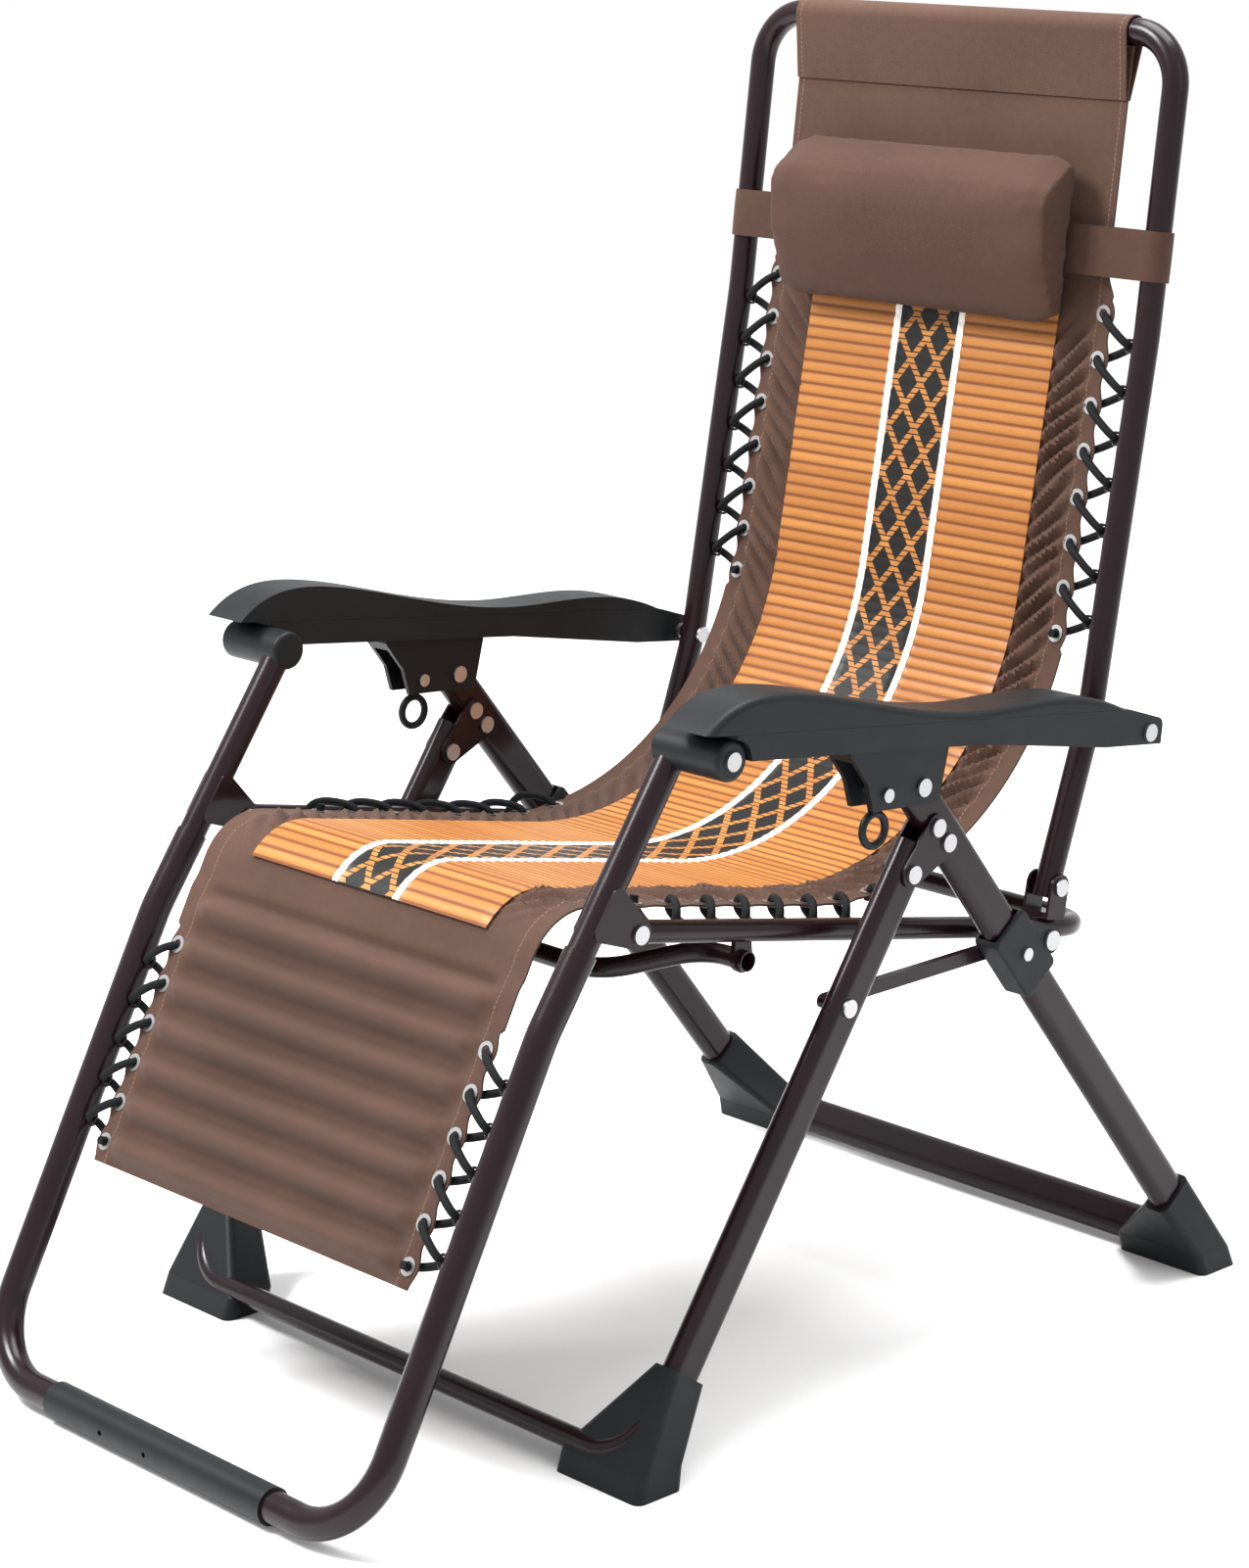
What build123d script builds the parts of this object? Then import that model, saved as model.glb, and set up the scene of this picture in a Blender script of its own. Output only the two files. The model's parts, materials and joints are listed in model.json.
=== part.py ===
"""Reclining patio chair.

Two U-shaped leg frames, a linked seat, back, foot loop and armrests, and a laced sling.
The chair faces -Y, +X is the sitter's left and Z is up. The origin is on the floor, under the
middle of its outline.
"""

import os
from math import atan2, cos, degrees, hypot, radians, sin

from build123d import *

os.makedirs("parts", exist_ok=True)

# Side-view pivots, as (y, z) in millimetres
SEAT_FRONT = (-213.0, 469.0)
LINK = (52.0, 146.0)
BACK_PIVOT = (313.0, 406.0)
LEG_TOP = (77.0, 550.0)
FRONT_LEG_PIVOT = (69.0, 474.0)
TIE_FRONT = (-6.0, 370.0)
LEVER_PIVOT = (32.0, 551.0)
PLATE_RIVETS = ((99.0, 510.0), (113.0, 494.0))
FOOT_JOINT = (-267.0, 462.0)
FOOT_BAR = (-509.6, 18.5)

# Leans from the vertical, rearward positive, and the fall of the seat rails
REAR_LEG_LEAN = -38.6
FRONT_LEG_LEAN = 34.5
BACK_LEAN = 10.6
HEAD_LEAN = 7.4
RAIL_FALL = 11.07

# Half-widths of the frames
FRAME_HALF = 257.0
LEG_HALF = 300.0

# Round tubes: outer diameter, with one wall for all
SEAT_TUBE = 20.0
BACK_TUBE = 24.0
UPRIGHT_TUBE = 25.0
FOOT_TUBE = 28.0
STRETCHER_TUBE = 18.0
TUBE_WALL = 1.3

# Flat-oval leg tube and its floor bars
LEG_DEPTH = 38.0
LEG_THICK = 20.0
LEG_WALL = 1.5
FLOOR_BAR_Z = 20.0
LEG_BEND = 50.0
REAR_LEG_OVER = 12.0
FRONT_LEG_OVER = 25.0

# Tube runs and bends
RAIL_LENGTH = 610.0
RAIL_NOSE = 8.0
RAIL_BEND = 60.0
BACK_STRAIGHT = 350.0
HEAD_STRAIGHT = 268.0
BACK_TOE = 12.0
BACK_BEND = 50.0
BACK_SWEEP = 120.0
HEAD_SWEEP = 300.0
FOOT_SOCKET = 75.0
FOOT_SWEEP = 160.0
FOOT_BEND = 75.0
UPRIGHT_INSERT = 50.0

# Fits
RUN = 0.05
FACE_GAP = 0.3
BOOT_FIT = 0.1

# Rivets and bolts
RIVET_R = 4.0
RIVET_HEAD_R = 8.0
RIVET_HEAD = 2.6
SMALL_RIVET_R = 3.0
SMALL_HEAD_R = 6.0
BOLT_R = 5.0
BOLT_HEAD_R = 9.0
BOLT_SHOULDER_R = 8.0

# Plates, ears and gussets
PLATE = 2.5
PLATE_R = 12.0
GUSSET = 3.0
GUSSET_R = 13.0
GUSSET_FOOT = 18.0
EAR_R = 12.0
EAR_BASE = 6.0

# Stretcher under the seat front, with its lugs
LUG_RUN = 133.0
LUG_DROP = 26.0
LUG_THICK = 5.0
LUG_RIM = 2.0
BOW_FORWARD = 78.0
BOW_DROP = 14.0
BOW_HALF = 165.0
BOW_ROOT = 45.0
STRETCHER_BEND = 48.0
STRETCHER_SHORT = 2.0

# Collars and tie bars
SEAT_PIVOT_RUN = 474.0
COLLAR_RUN = 228.0
COLLAR_LENGTH = 76.0
COLLAR_WALL = 3.7
COLLAR_EAR_R = 13.0
COLLAR_CORNER = 6.0
COLLAR_EDGE = 2.5
TIE_WIDTH = 13.0
TIE_THICK = 7.5

# Boots
BOOT_LENGTH = 104.0
BOOT_WIDTH = 52.0
BOOT_OUT = 327.0
BOOT_RISE = 84.0
BOOT_WALL = 3.5
BOOT_CORNER = 8.0
BOOT_TAPER = 2.0

# Armrests, brackets, levers and rollers
ARM_INNER = 275.0
ARM_OUTER = 327.0
ARM_TOP = 22.0
ARM_NOSE = 6.0
ARM_EDGE = 8.0
REAR_DROP = 11.0
REAR_RISE = 12.0
REAR_END = 18.0
REAR_LOW = 60.0
REAR_HIGH = 30.0
CHANNEL_WIDTH = 31.0
CHANNEL_DEPTH = 19.5
CHANNEL_START = 22.0
CHANNEL_END = 302.0
PAD_GAP = 0.2
PAD_NOSE = 34.0
PAD_BROW = 46.0
PAD_CREST = 53.0
PAD_CREST_RUN = 72.0
PAD_SLOPE = 40.0
PAD_SLOPE_RUN = 170.0
PAD_DIP = 29.0
PAD_DIP_BACK = 230.0
PAD_TAIL = 36.0
PAD_TAIL_BACK = 110.0
PAD_END_BACK = 34.0
PAD_EDGE = 6.0
BRACKET_WIDTH = 30.0
BRACKET_HEAD = 47.0
BRACKET_SHOULDER = 32.0
BRACKET_FRONT = 95.0
BRACKET_REAR = 28.0
BRACKET_HEEL = (22.0, -14.0)
BRACKET_TOE = (-60.0, -18.0)
BRACKET_THROAT = (-70.0, 6.0)
SLOT_ROOF = 24.5
LEVER_THICK = 6.0
LEVER_EYE = 8.0
LEVER_STEM = 4.5
CAM_R = 4.0
CAM_AHEAD = 6.0
CAM_RISE = 9.0
RING_DROP = 33.0
RING_R = 14.0
RING_STOCK = 3.5
ROLLER_R = 17.6
ROLLER_INNER = 244.0
ROLLER_OUTER = 323.0
ROLLER_GAP = 0.5
ROLLER_EDGE = 4.0
PIN_CLEAR = 2.0

# Foot bar sleeve
SLEEVE_HALF = 149.0
SLEEVE_WALL = 2.4
SLEEVE_HOLES = (-67.0, -5.0)
SLEEVE_HOLE_R = 2.5

# Sling, mat and eyelets
SLING_HALF = 217.0
SLING_THICK = 2.4
SLING_RAISE = 12.0
SLING_SWEEP = 280.0
SLING_NOSE = 60.0
SLING_SPLIT = 545.0
NOSE_DROP = 70.0
TUNNEL_HALF = 205.0
MAT_HALF = 155.0
MAT_THICK = 4.0
EYELET_X = 206.0
EYELET_BORE = 4.5
EYELET_BARREL = 5.2
EYELET_FLANGE = 8.0
EYELET_LIP = 0.7
EYELET_FIT = 0.15
HEAD_PANEL = 215.0
SHEET_GAP = 1.5
EDGE_STRIP = 190.0
CORD = 7.5
CORD_CLEAR = 0.45
CORD_DIP = 8.0
CORD_PASS = 6.5
CORD_TURN = 5.0
CORD_SHARE = 0.62
CORD_UNDER = 0.4
LOOP_WIRE = 2.5
EYELET_PITCH = 42.0
EDGE_EYELETS = 8
BACK_EYELETS = 240.0
SEAT_EYELETS = 870.0
FOOT_ROLLS = 7
ROLL_PITCH = 37.0
ROLL_HEIGHT = 5.0
MAT_TOP = 235.0
MAT_NOSE = 45.0

# Headrest
PILLOW_HALF = 175.0
PILLOW_DEPTH = 46.0
PILLOW_CLEAR = 3.2
PILLOW_HIGH = 152.0
PILLOW_BROW = 112.0
PILLOW_END = 0.88
PILLOW_WAIST = 0.72
PILLOW_CORNER = 5.0
PILLOW_CHAMFER = 6.0
PILLOW_CROWN = 8.0
PILLOW_LIP = 4.0
PILLOW_CHIN = 62.0
PILLOW_CHIN_IN = 6.0
PILLOW_SOLE = 14.0
STRAP_WIDTH = 45.0
STRAP_THICK = 2.0
STRAP_FIT = 0.5
STRAP_RUN = 48.0

SIDES = (1, -1)


def along(start, lean, run):
    """Point reached from start by a run along a line that leans rearward from the vertical."""
    return (start[0] + run * sin(radians(lean)), start[1] + run * cos(radians(lean)))


def frame_plane(origin, lean):
    """Plane across the chair: its x is X, and its y leans rearward from the vertical."""
    a = radians(lean)
    return Plane(origin=(0, *origin), x_dir=(1, 0, 0), z_dir=(0, -cos(a), sin(a)))


def side_plane(x, origin, lean=0.0):
    """Plane seen from the side at x: its x runs rearward and its y up, turned back by lean."""
    a = radians(lean)
    return Plane(origin=(x, *origin), x_dir=(0, cos(a), -sin(a)), z_dir=(1, 0, 0))


def tube_section(path, outer, wall=TUBE_WALL):
    """Ring sketch at the start of a path."""
    with BuildSketch(Plane(origin=path @ 0, z_dir=path % 0)) as section:
        Circle(outer / 2)
        Circle(outer / 2 - wall, mode=Mode.SUBTRACT)
    return section.sketch


def bent_tube(points, radii, outer, wall=TUBE_WALL):
    """Round tube along straight runs and tangent arcs."""
    with BuildPart() as tube:
        with BuildLine() as run:
            FilletPolyline(*points, radius=radii)
        sweep(sections=tube_section(run.line, outer, wall), path=run.line)
    return tube.part


def leg_frame(pivot, lean, over, grow=0.0, wall=LEG_WALL):
    """U-shaped frame of flat-oval tube whose legs pass through pivot; with no wall it is filled."""
    plane = frame_plane(pivot, lean)
    drop = (pivot[1] - FLOOR_BAR_Z) / cos(radians(lean))
    with BuildPart() as frame:
        with BuildLine(plane) as run:
            FilletPolyline(
                (LEG_HALF, over), (LEG_HALF, -drop), (-LEG_HALF, -drop), (-LEG_HALF, over), radius=LEG_BEND
            )
        start = Plane(origin=run.line @ 0, x_dir=plane.z_dir, z_dir=run.line % 0)
        with BuildSketch(start) as section:
            SlotOverall(LEG_DEPTH + 2 * grow, LEG_THICK + 2 * grow)
            if wall:
                SlotOverall(LEG_DEPTH - 2 * wall, LEG_THICK - 2 * wall, mode=Mode.SUBTRACT)
        sweep(sections=section.sketch, path=run.line)
    return frame.part


def drill(points, radius):
    """Holes right across the chair, inside the part that is being built."""
    with BuildSketch(Plane.YZ) as holes:
        with Locations(*points):
            Circle(radius)
    extrude(holes.sketch, amount=2 * LEG_HALF, both=True, mode=Mode.SUBTRACT)


def turned(side, start, end, centre, radius):
    """Round bar along X from start to end on one side, inside the part that is being built."""
    with BuildSketch(Plane.YZ.offset(side * start)) as disc:
        with Locations(centre):
            Circle(radius)
    extrude(disc.sketch, amount=side * (end - start))


def riveted(side, inner, outer, centre, shank=RIVET_R, head=RIVET_HEAD_R):
    """Rivet along X whose heads clear the faces at inner and outer."""
    low = inner - FACE_GAP
    high = outer + FACE_GAP
    turned(side, low - RIVET_HEAD, high + RIVET_HEAD, centre, shank)
    turned(side, low - RIVET_HEAD, low, centre, head)
    turned(side, high, high + RIVET_HEAD, centre, head)


def write(part, name):
    """Label a finished piece and write it."""
    part.label = name
    export_step(part, f"parts/{name}.step")


def write_pair(part, name):
    """Write the left piece and its mirror image on the right."""
    with BuildPart() as other:
        mirror(part, about=Plane.YZ)
    write(part, f"{name}_left")
    write(other.part, f"{name}_right")


# Pivots that follow from the driving ones
ROLLER_AXIS = (SEAT_FRONT[0] + LINK[0], SEAT_FRONT[1] + LINK[1])
ARM_PIVOT = (BACK_PIVOT[0] + LINK[0], BACK_PIVOT[1] + LINK[1])
RAIL_LEAN = 90 + RAIL_FALL
SEAT_PIVOT = along(SEAT_FRONT, RAIL_LEAN, SEAT_PIVOT_RUN)
COLLAR_PIVOT = along(LEG_TOP, REAR_LEG_LEAN, -COLLAR_RUN)
ARM_SPAN = hypot(ARM_PIVOT[0] - ROLLER_AXIS[0], ARM_PIVOT[1] - ROLLER_AXIS[1])
ARM_FALL = degrees(atan2(ROLLER_AXIS[1] - ARM_PIVOT[1], ARM_PIVOT[0] - ROLLER_AXIS[0]))
UPRIGHT_LEAN = degrees(atan2(ROLLER_AXIS[0] - FOOT_JOINT[0], ROLLER_AXIS[1] - FOOT_JOINT[1]))
FOOT_TURN = along(FOOT_JOINT, UPRIGHT_LEAN, -FOOT_SOCKET)
FOOT_LEAN = degrees(atan2(FOOT_TURN[0] - FOOT_BAR[0], FOOT_TURN[1] - FOOT_BAR[1]))
NECK = along(ARM_PIVOT, BACK_LEAN, BACK_STRAIGHT)
TOP_BAR = along(NECK, HEAD_LEAN, HEAD_STRAIGHT)
LOWER_BACK_LEAN = degrees(atan2(LINK[0], LINK[1]))
LEG_IN = LEG_HALF - LEG_THICK / 2
LEG_OUT = LEG_HALF + LEG_THICK / 2
COLLAR_IN = LEG_IN - FACE_GAP - COLLAR_WALL
COLLAR_OUT = LEG_OUT + FACE_GAP + COLLAR_WALL
RAIL_IN = FRAME_HALF - SEAT_TUBE / 2
RAIL_OUT = FRAME_HALF + SEAT_TUBE / 2

# Rear leg frame with its rivet holes
rear_tube = leg_frame(LEG_TOP, REAR_LEG_LEAN, REAR_LEG_OVER)
with BuildPart() as rear_leg_frame:
    add(rear_tube)
    drill((LEG_TOP, *PLATE_RIVETS), RIVET_R + RUN)
write(rear_leg_frame.part, "rear_leg_frame")

# Front leg frame with its pivot and tie holes
front_tube = leg_frame(FRONT_LEG_PIVOT, FRONT_LEG_LEAN, FRONT_LEG_OVER)
with BuildPart() as front_leg_frame:
    add(front_tube)
    drill((FRONT_LEG_PIVOT, TIE_FRONT), RIVET_R + RUN)
write(front_leg_frame.part, "front_leg_frame")

# Hinge plates on both faces of the legs
with BuildPart() as leg_hinge_plates:
    for side in SIDES:
        for face in (LEG_IN - FACE_GAP - PLATE, LEG_OUT + FACE_GAP):
            with BuildSketch(Plane.YZ.offset(side * face)):
                with Locations(FRONT_LEG_PIVOT, *PLATE_RIVETS):
                    Circle(PLATE_R)
                make_hull()
            extrude(amount=side * PLATE)
    drill((FRONT_LEG_PIVOT, *PLATE_RIVETS), RIVET_R + RUN)
write(leg_hinge_plates.part, "leg_hinge_plates")

PLATE_IN = LEG_IN - FACE_GAP - PLATE
PLATE_OUT = LEG_OUT + FACE_GAP + PLATE

with BuildPart() as hinge_plate_rivets:
    for side in SIDES:
        for centre in PLATE_RIVETS:
            riveted(side, PLATE_IN, PLATE_OUT, centre)
write(hinge_plate_rivets.part, "hinge_plate_rivets")

with BuildPart() as front_leg_pivot_rivets:
    for side in SIDES:
        riveted(side, PLATE_IN, PLATE_OUT, FRONT_LEG_PIVOT)
write(front_leg_pivot_rivets.part, "front_leg_pivot_rivets")

# Tie rivets end flush with the inner face of the front leg
with BuildPart() as tie_rivets:
    for side in SIDES:
        turned(side, LEG_IN, LEG_OUT + RIVET_HEAD, TIE_FRONT, RIVET_R)
        turned(side, LEG_OUT, LEG_OUT + RIVET_HEAD, TIE_FRONT, RIVET_HEAD_R)
write(tie_rivets.part, "tie_rivets")


def boot(pivot, lean, over):
    """Left boot: a wedge from the floor up round the leg, hollowed by the leg frame."""
    a = radians(lean)
    bar = along(pivot, lean, -(pivot[1] - FLOOR_BAR_Z) / cos(a))
    middle = BOOT_OUT - (BOOT_TAPER + BOOT_LENGTH) / 2
    collar = along(bar, lean, BOOT_RISE)
    envelope = leg_frame(pivot, lean, over, grow=BOOT_FIT, wall=0)
    with BuildPart() as piece:
        with BuildSketch(Plane.XY) as sole:
            with Locations((BOOT_OUT - BOOT_LENGTH / 2, bar[0])):
                RectangleRounded(BOOT_LENGTH, BOOT_WIDTH, BOOT_CORNER)
        with BuildSketch(Plane.XY.offset(FLOOR_BAR_Z)) as waist:
            with Locations((middle, bar[0] + FLOOR_BAR_Z * sin(a) / 2)):
                RectangleRounded(BOOT_LENGTH - BOOT_TAPER, BOOT_WIDTH - BOOT_TAPER, BOOT_CORNER)
        loft(sections=[sole.sketch, waist.sketch], ruled=True)
        mouth = Plane(origin=(LEG_HALF, *collar), x_dir=(1, 0, 0), z_dir=(0, sin(a), cos(a)))
        with BuildSketch(mouth) as top:
            RectangleRounded(LEG_THICK + 2 * BOOT_WALL, LEG_DEPTH + 2 * BOOT_WALL, BOOT_CORNER)
        loft(sections=[waist.sketch, top.sketch], ruled=True)
        add(envelope, mode=Mode.SUBTRACT)
    return piece.part


rear_boot = boot(LEG_TOP, REAR_LEG_LEAN, REAR_LEG_OVER)
write_pair(rear_boot, "rear_boot")

front_boot = boot(FRONT_LEG_PIVOT, FRONT_LEG_LEAN, FRONT_LEG_OVER)
write_pair(front_boot, "front_boot")

# Sliding collar with the ear that carries the seat
collar_mid = side_plane(COLLAR_IN, COLLAR_PIVOT, 90 + REAR_LEG_LEAN)
with BuildPart() as collar:
    with BuildSketch(collar_mid):
        RectangleRounded(COLLAR_LENGTH, LEG_DEPTH + 2 * (FACE_GAP + COLLAR_WALL), COLLAR_CORNER)
    extrude(amount=COLLAR_OUT - COLLAR_IN)
    fillet(collar.edges().filter_by(Axis.X, reverse=True), COLLAR_EDGE)
    with BuildSketch(Plane.YZ.offset(COLLAR_IN)):
        with Locations(COLLAR_PIVOT, SEAT_PIVOT):
            Circle(COLLAR_EAR_R)
        make_hull()
    extrude(amount=COLLAR_OUT - COLLAR_IN)
    with BuildSketch(side_plane(LEG_IN - FACE_GAP, COLLAR_PIVOT, 90 + REAR_LEG_LEAN)):
        Rectangle(2 * COLLAR_LENGTH, LEG_DEPTH + 2 * FACE_GAP)
    extrude(amount=LEG_THICK + 2 * FACE_GAP, mode=Mode.SUBTRACT)
    drill((SEAT_PIVOT,), BOLT_R + RUN)
    drill((COLLAR_PIVOT,), SMALL_RIVET_R + RUN)
write_pair(collar.part, "leg_collar")

# Tie bar with a boss against the front leg
tie_run = (COLLAR_PIVOT[0] - TIE_FRONT[0], COLLAR_PIVOT[1] - TIE_FRONT[1])
TIE_OUT = COLLAR_IN - FACE_GAP
TIE_IN = TIE_OUT - TIE_THICK
with BuildPart() as tie_bar:
    tie_mid = (TIE_FRONT[0] + tie_run[0] / 2, TIE_FRONT[1] + tie_run[1] / 2)
    with BuildSketch(side_plane(TIE_IN, tie_mid, -degrees(atan2(tie_run[1], tie_run[0])))):
        SlotCenterToCenter(hypot(*tie_run), TIE_WIDTH)
    extrude(amount=TIE_THICK)
    turned(1, TIE_IN, LEG_IN - FACE_GAP, TIE_FRONT, TIE_WIDTH / 2)
    with BuildSketch(Plane.YZ.offset(TIE_IN)):
        with Locations(COLLAR_PIVOT):
            Circle(SMALL_RIVET_R + RUN)
    extrude(amount=TIE_THICK, mode=Mode.SUBTRACT)
write_pair(tie_bar.part, "tie_bar")

# Collar rivets: one that carries the tie bar, one in the outer wall
with BuildPart() as collar_rivets:
    for side in SIDES:
        turned(side, TIE_IN - FACE_GAP - RIVET_HEAD, LEG_IN - FACE_GAP, COLLAR_PIVOT, SMALL_RIVET_R)
        turned(side, TIE_IN - FACE_GAP - RIVET_HEAD, TIE_IN - FACE_GAP, COLLAR_PIVOT, SMALL_HEAD_R)
        turned(side, LEG_OUT + FACE_GAP, COLLAR_OUT + RIVET_HEAD, COLLAR_PIVOT, SMALL_RIVET_R)
        turned(side, COLLAR_OUT, COLLAR_OUT + RIVET_HEAD, COLLAR_PIVOT, SMALL_HEAD_R)
write(collar_rivets.part, "collar_rivets")

# Seat pivot bolts with a shoulder between the rail and the ear
with BuildPart() as seat_pivot_bolts:
    for side in SIDES:
        riveted(side, RAIL_IN, COLLAR_OUT, SEAT_PIVOT, BOLT_R, BOLT_HEAD_R)
        turned(side, RAIL_OUT + FACE_GAP, COLLAR_IN - FACE_GAP, SEAT_PIVOT, BOLT_SHOULDER_R)
write(seat_pivot_bolts.part, "seat_pivot_bolts")

# Seat frame: rails and rear bar in one tube, with a saddle and two ears a side for the back
rail_plane = frame_plane(SEAT_FRONT, RAIL_LEAN)
back_on_rail = (BACK_PIVOT[0] - SEAT_FRONT[0]) * cos(radians(RAIL_FALL)) - (
    BACK_PIVOT[1] - SEAT_FRONT[1]
) * sin(radians(RAIL_FALL))
ear_seat = along(SEAT_FRONT, RAIL_LEAN, back_on_rail)
EAR_IN = FRAME_HALF - BACK_TUBE / 2 - FACE_GAP
EAR_OUT = FRAME_HALF + BACK_TUBE / 2 + FACE_GAP
with BuildPart() as seat_tube:
    with BuildLine(rail_plane) as rail_run:
        FilletPolyline(
            (FRAME_HALF, -RAIL_NOSE),
            (FRAME_HALF, RAIL_LENGTH),
            (-FRAME_HALF, RAIL_LENGTH),
            (-FRAME_HALF, -RAIL_NOSE),
            radius=RAIL_BEND,
        )
    sweep(sections=tube_section(rail_run.line, SEAT_TUBE), path=rail_run.line)
with BuildPart() as seat_frame:
    add(seat_tube.part)
    for side in SIDES:
        saddle = side_plane(side * (EAR_IN - GUSSET), ear_seat, RAIL_FALL)
        with BuildSketch(saddle):
            with Locations((0, SEAT_TUBE / 2 - TUBE_WALL / 2 + EAR_BASE / 2)):
                Rectangle(2 * EAR_R, EAR_BASE)
        extrude(amount=side * (EAR_OUT - EAR_IN + 2 * GUSSET))
        for face in (EAR_IN - GUSSET, EAR_OUT):
            with BuildSketch(side_plane(side * face, ear_seat, RAIL_FALL)):
                with Locations((0, SEAT_TUBE / 2 + EAR_BASE / 2)):
                    Rectangle(2 * EAR_R, EAR_BASE)
                with Locations((0, (BACK_PIVOT[1] - ear_seat[1]) / cos(radians(RAIL_FALL)))):
                    Circle(EAR_R)
                make_hull()
            extrude(amount=side * GUSSET)
    drill((SEAT_FRONT,), RIVET_R + RUN)
    drill((BACK_PIVOT,), RIVET_R + RUN)
    drill((SEAT_PIVOT,), BOLT_R + RUN)
write(seat_frame.part, "seat_frame")

# Bowed stretcher under the front of the seat, on lugs below the rails
lug_rail = along(SEAT_FRONT, RAIL_LEAN, LUG_RUN)
lug = (lug_rail[0], lug_rail[1] - LUG_DROP)
stretcher_tube = bent_tube(
    (
        (RAIL_OUT - STRETCHER_SHORT, *lug),
        (FRAME_HALF - BOW_ROOT, *lug),
        (BOW_HALF, lug[0] - BOW_FORWARD, lug[1] - BOW_DROP),
        (-BOW_HALF, lug[0] - BOW_FORWARD, lug[1] - BOW_DROP),
        (-FRAME_HALF + BOW_ROOT, *lug),
        (-RAIL_OUT + STRETCHER_SHORT, *lug),
    ),
    STRETCHER_BEND,
    STRETCHER_TUBE,
)
with BuildPart() as seat_stretcher:
    for side in SIDES:
        with BuildSketch(Plane.YZ.offset(side * (FRAME_HALF - LUG_THICK / 2))):
            with Locations(lug):
                Circle(STRETCHER_TUBE / 2 + LUG_RIM)
            with Locations(lug_rail):
                Circle(STRETCHER_TUBE / 2)
            make_hull()
        extrude(amount=side * LUG_THICK)
        with BuildSketch(Plane.YZ.offset(side * (FRAME_HALF - LUG_THICK))):
            with Locations(lug):
                Circle(STRETCHER_TUBE / 2 - TUBE_WALL / 2)
        extrude(amount=side * 2 * LUG_THICK, mode=Mode.SUBTRACT)
    add(stretcher_tube)
    rail_dir = (0, cos(radians(RAIL_FALL)), -sin(radians(RAIL_FALL)))
    with BuildSketch(Plane(origin=(0, *lug_rail), x_dir=(1, 0, 0), z_dir=rail_dir)):
        with Locations((FRAME_HALF, 0), (-FRAME_HALF, 0)):
            Circle(SEAT_TUBE / 2)
    extrude(amount=LUG_RUN, both=True, mode=Mode.SUBTRACT)
write(seat_stretcher.part, "seat_stretcher")

# Back frame: inverted U, bent at the armrest pivot and at the neck
back_toe = along(BACK_PIVOT, LOWER_BACK_LEAN, -BACK_TOE)
back_points = [(FRAME_HALF, *point) for point in (back_toe, ARM_PIVOT, NECK, TOP_BAR)]
back_points += [(-x, y, z) for x, y, z in reversed(back_points)]
back_tube = bent_tube(
    back_points,
    [BACK_SWEEP, HEAD_SWEEP, BACK_BEND, BACK_BEND, HEAD_SWEEP, BACK_SWEEP],
    BACK_TUBE,
)
with BuildPart() as back_frame:
    add(back_tube)
    drill((BACK_PIVOT, ARM_PIVOT), RIVET_R + RUN)
write(back_frame.part, "back_frame")

with BuildPart() as back_pivot_rivets:
    for side in SIDES:
        riveted(side, EAR_IN - GUSSET, EAR_OUT + GUSSET, BACK_PIVOT)
write(back_pivot_rivets.part, "back_pivot_rivets")

# Uprights with their gussets, pushed into the foot loop
GUSSET_IN = RAIL_IN - FACE_GAP - GUSSET
GUSSET_OUT = RAIL_OUT + FACE_GAP
upright_foot = along(FOOT_JOINT, UPRIGHT_LEAN, -UPRIGHT_INSERT)
gusset_mid = hypot(LINK[0], LINK[1]) * cos(radians(UPRIGHT_LEAN - LOWER_BACK_LEAN))
gusset_root = [along(ROLLER_AXIS, UPRIGHT_LEAN, side * GUSSET_FOOT - gusset_mid) for side in SIDES]
with BuildPart() as upright:
    with BuildLine() as upright_run:
        Line((FRAME_HALF, *upright_foot), (FRAME_HALF, *ROLLER_AXIS))
    sweep(sections=tube_section(upright_run.line, UPRIGHT_TUBE), path=upright_run.line)
    for face in (GUSSET_IN, GUSSET_OUT):
        with BuildSketch(Plane.YZ.offset(face)):
            with Locations(SEAT_FRONT):
                Circle(GUSSET_R)
            with Locations(*gusset_root):
                Circle(UPRIGHT_TUBE / 4)
            make_hull()
            with Locations(SEAT_FRONT):
                Circle(RIVET_R + RUN, mode=Mode.SUBTRACT)
        extrude(amount=GUSSET)
write_pair(upright.part, "upright")

with BuildPart() as seat_front_rivets:
    for side in SIDES:
        riveted(side, GUSSET_IN, GUSSET_OUT + GUSSET, SEAT_FRONT)
write(seat_front_rivets.part, "seat_front_rivets")

# Foot loop, with sockets for the uprights at its ends
foot_points = [(FRAME_HALF, *point) for point in (FOOT_JOINT, FOOT_TURN, FOOT_BAR)]
foot_points += [(-x, y, z) for x, y, z in reversed(foot_points)]
foot_tube = bent_tube(foot_points, [FOOT_SWEEP, FOOT_BEND, FOOT_BEND, FOOT_SWEEP], FOOT_TUBE)
write(foot_tube, "foot_loop")

# Plastic sleeve on the floor bar of the foot loop
with BuildPart() as foot_sleeve:
    with BuildSketch(Plane.YZ.offset(-SLEEVE_HALF)):
        with Locations(FOOT_BAR):
            Circle(FOOT_TUBE / 2 + BOOT_FIT + SLEEVE_WALL)
            Circle(FOOT_TUBE / 2 + BOOT_FIT, mode=Mode.SUBTRACT)
    extrude(amount=2 * SLEEVE_HALF)
    with BuildSketch(Plane.XZ.offset(-FOOT_BAR[0])):
        with Locations(*[(x, FOOT_BAR[1]) for x in SLEEVE_HOLES]):
            Circle(SLEEVE_HOLE_R)
    extrude(amount=FOOT_TUBE, mode=Mode.SUBTRACT)
write(foot_sleeve.part, "foot_sleeve")

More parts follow.
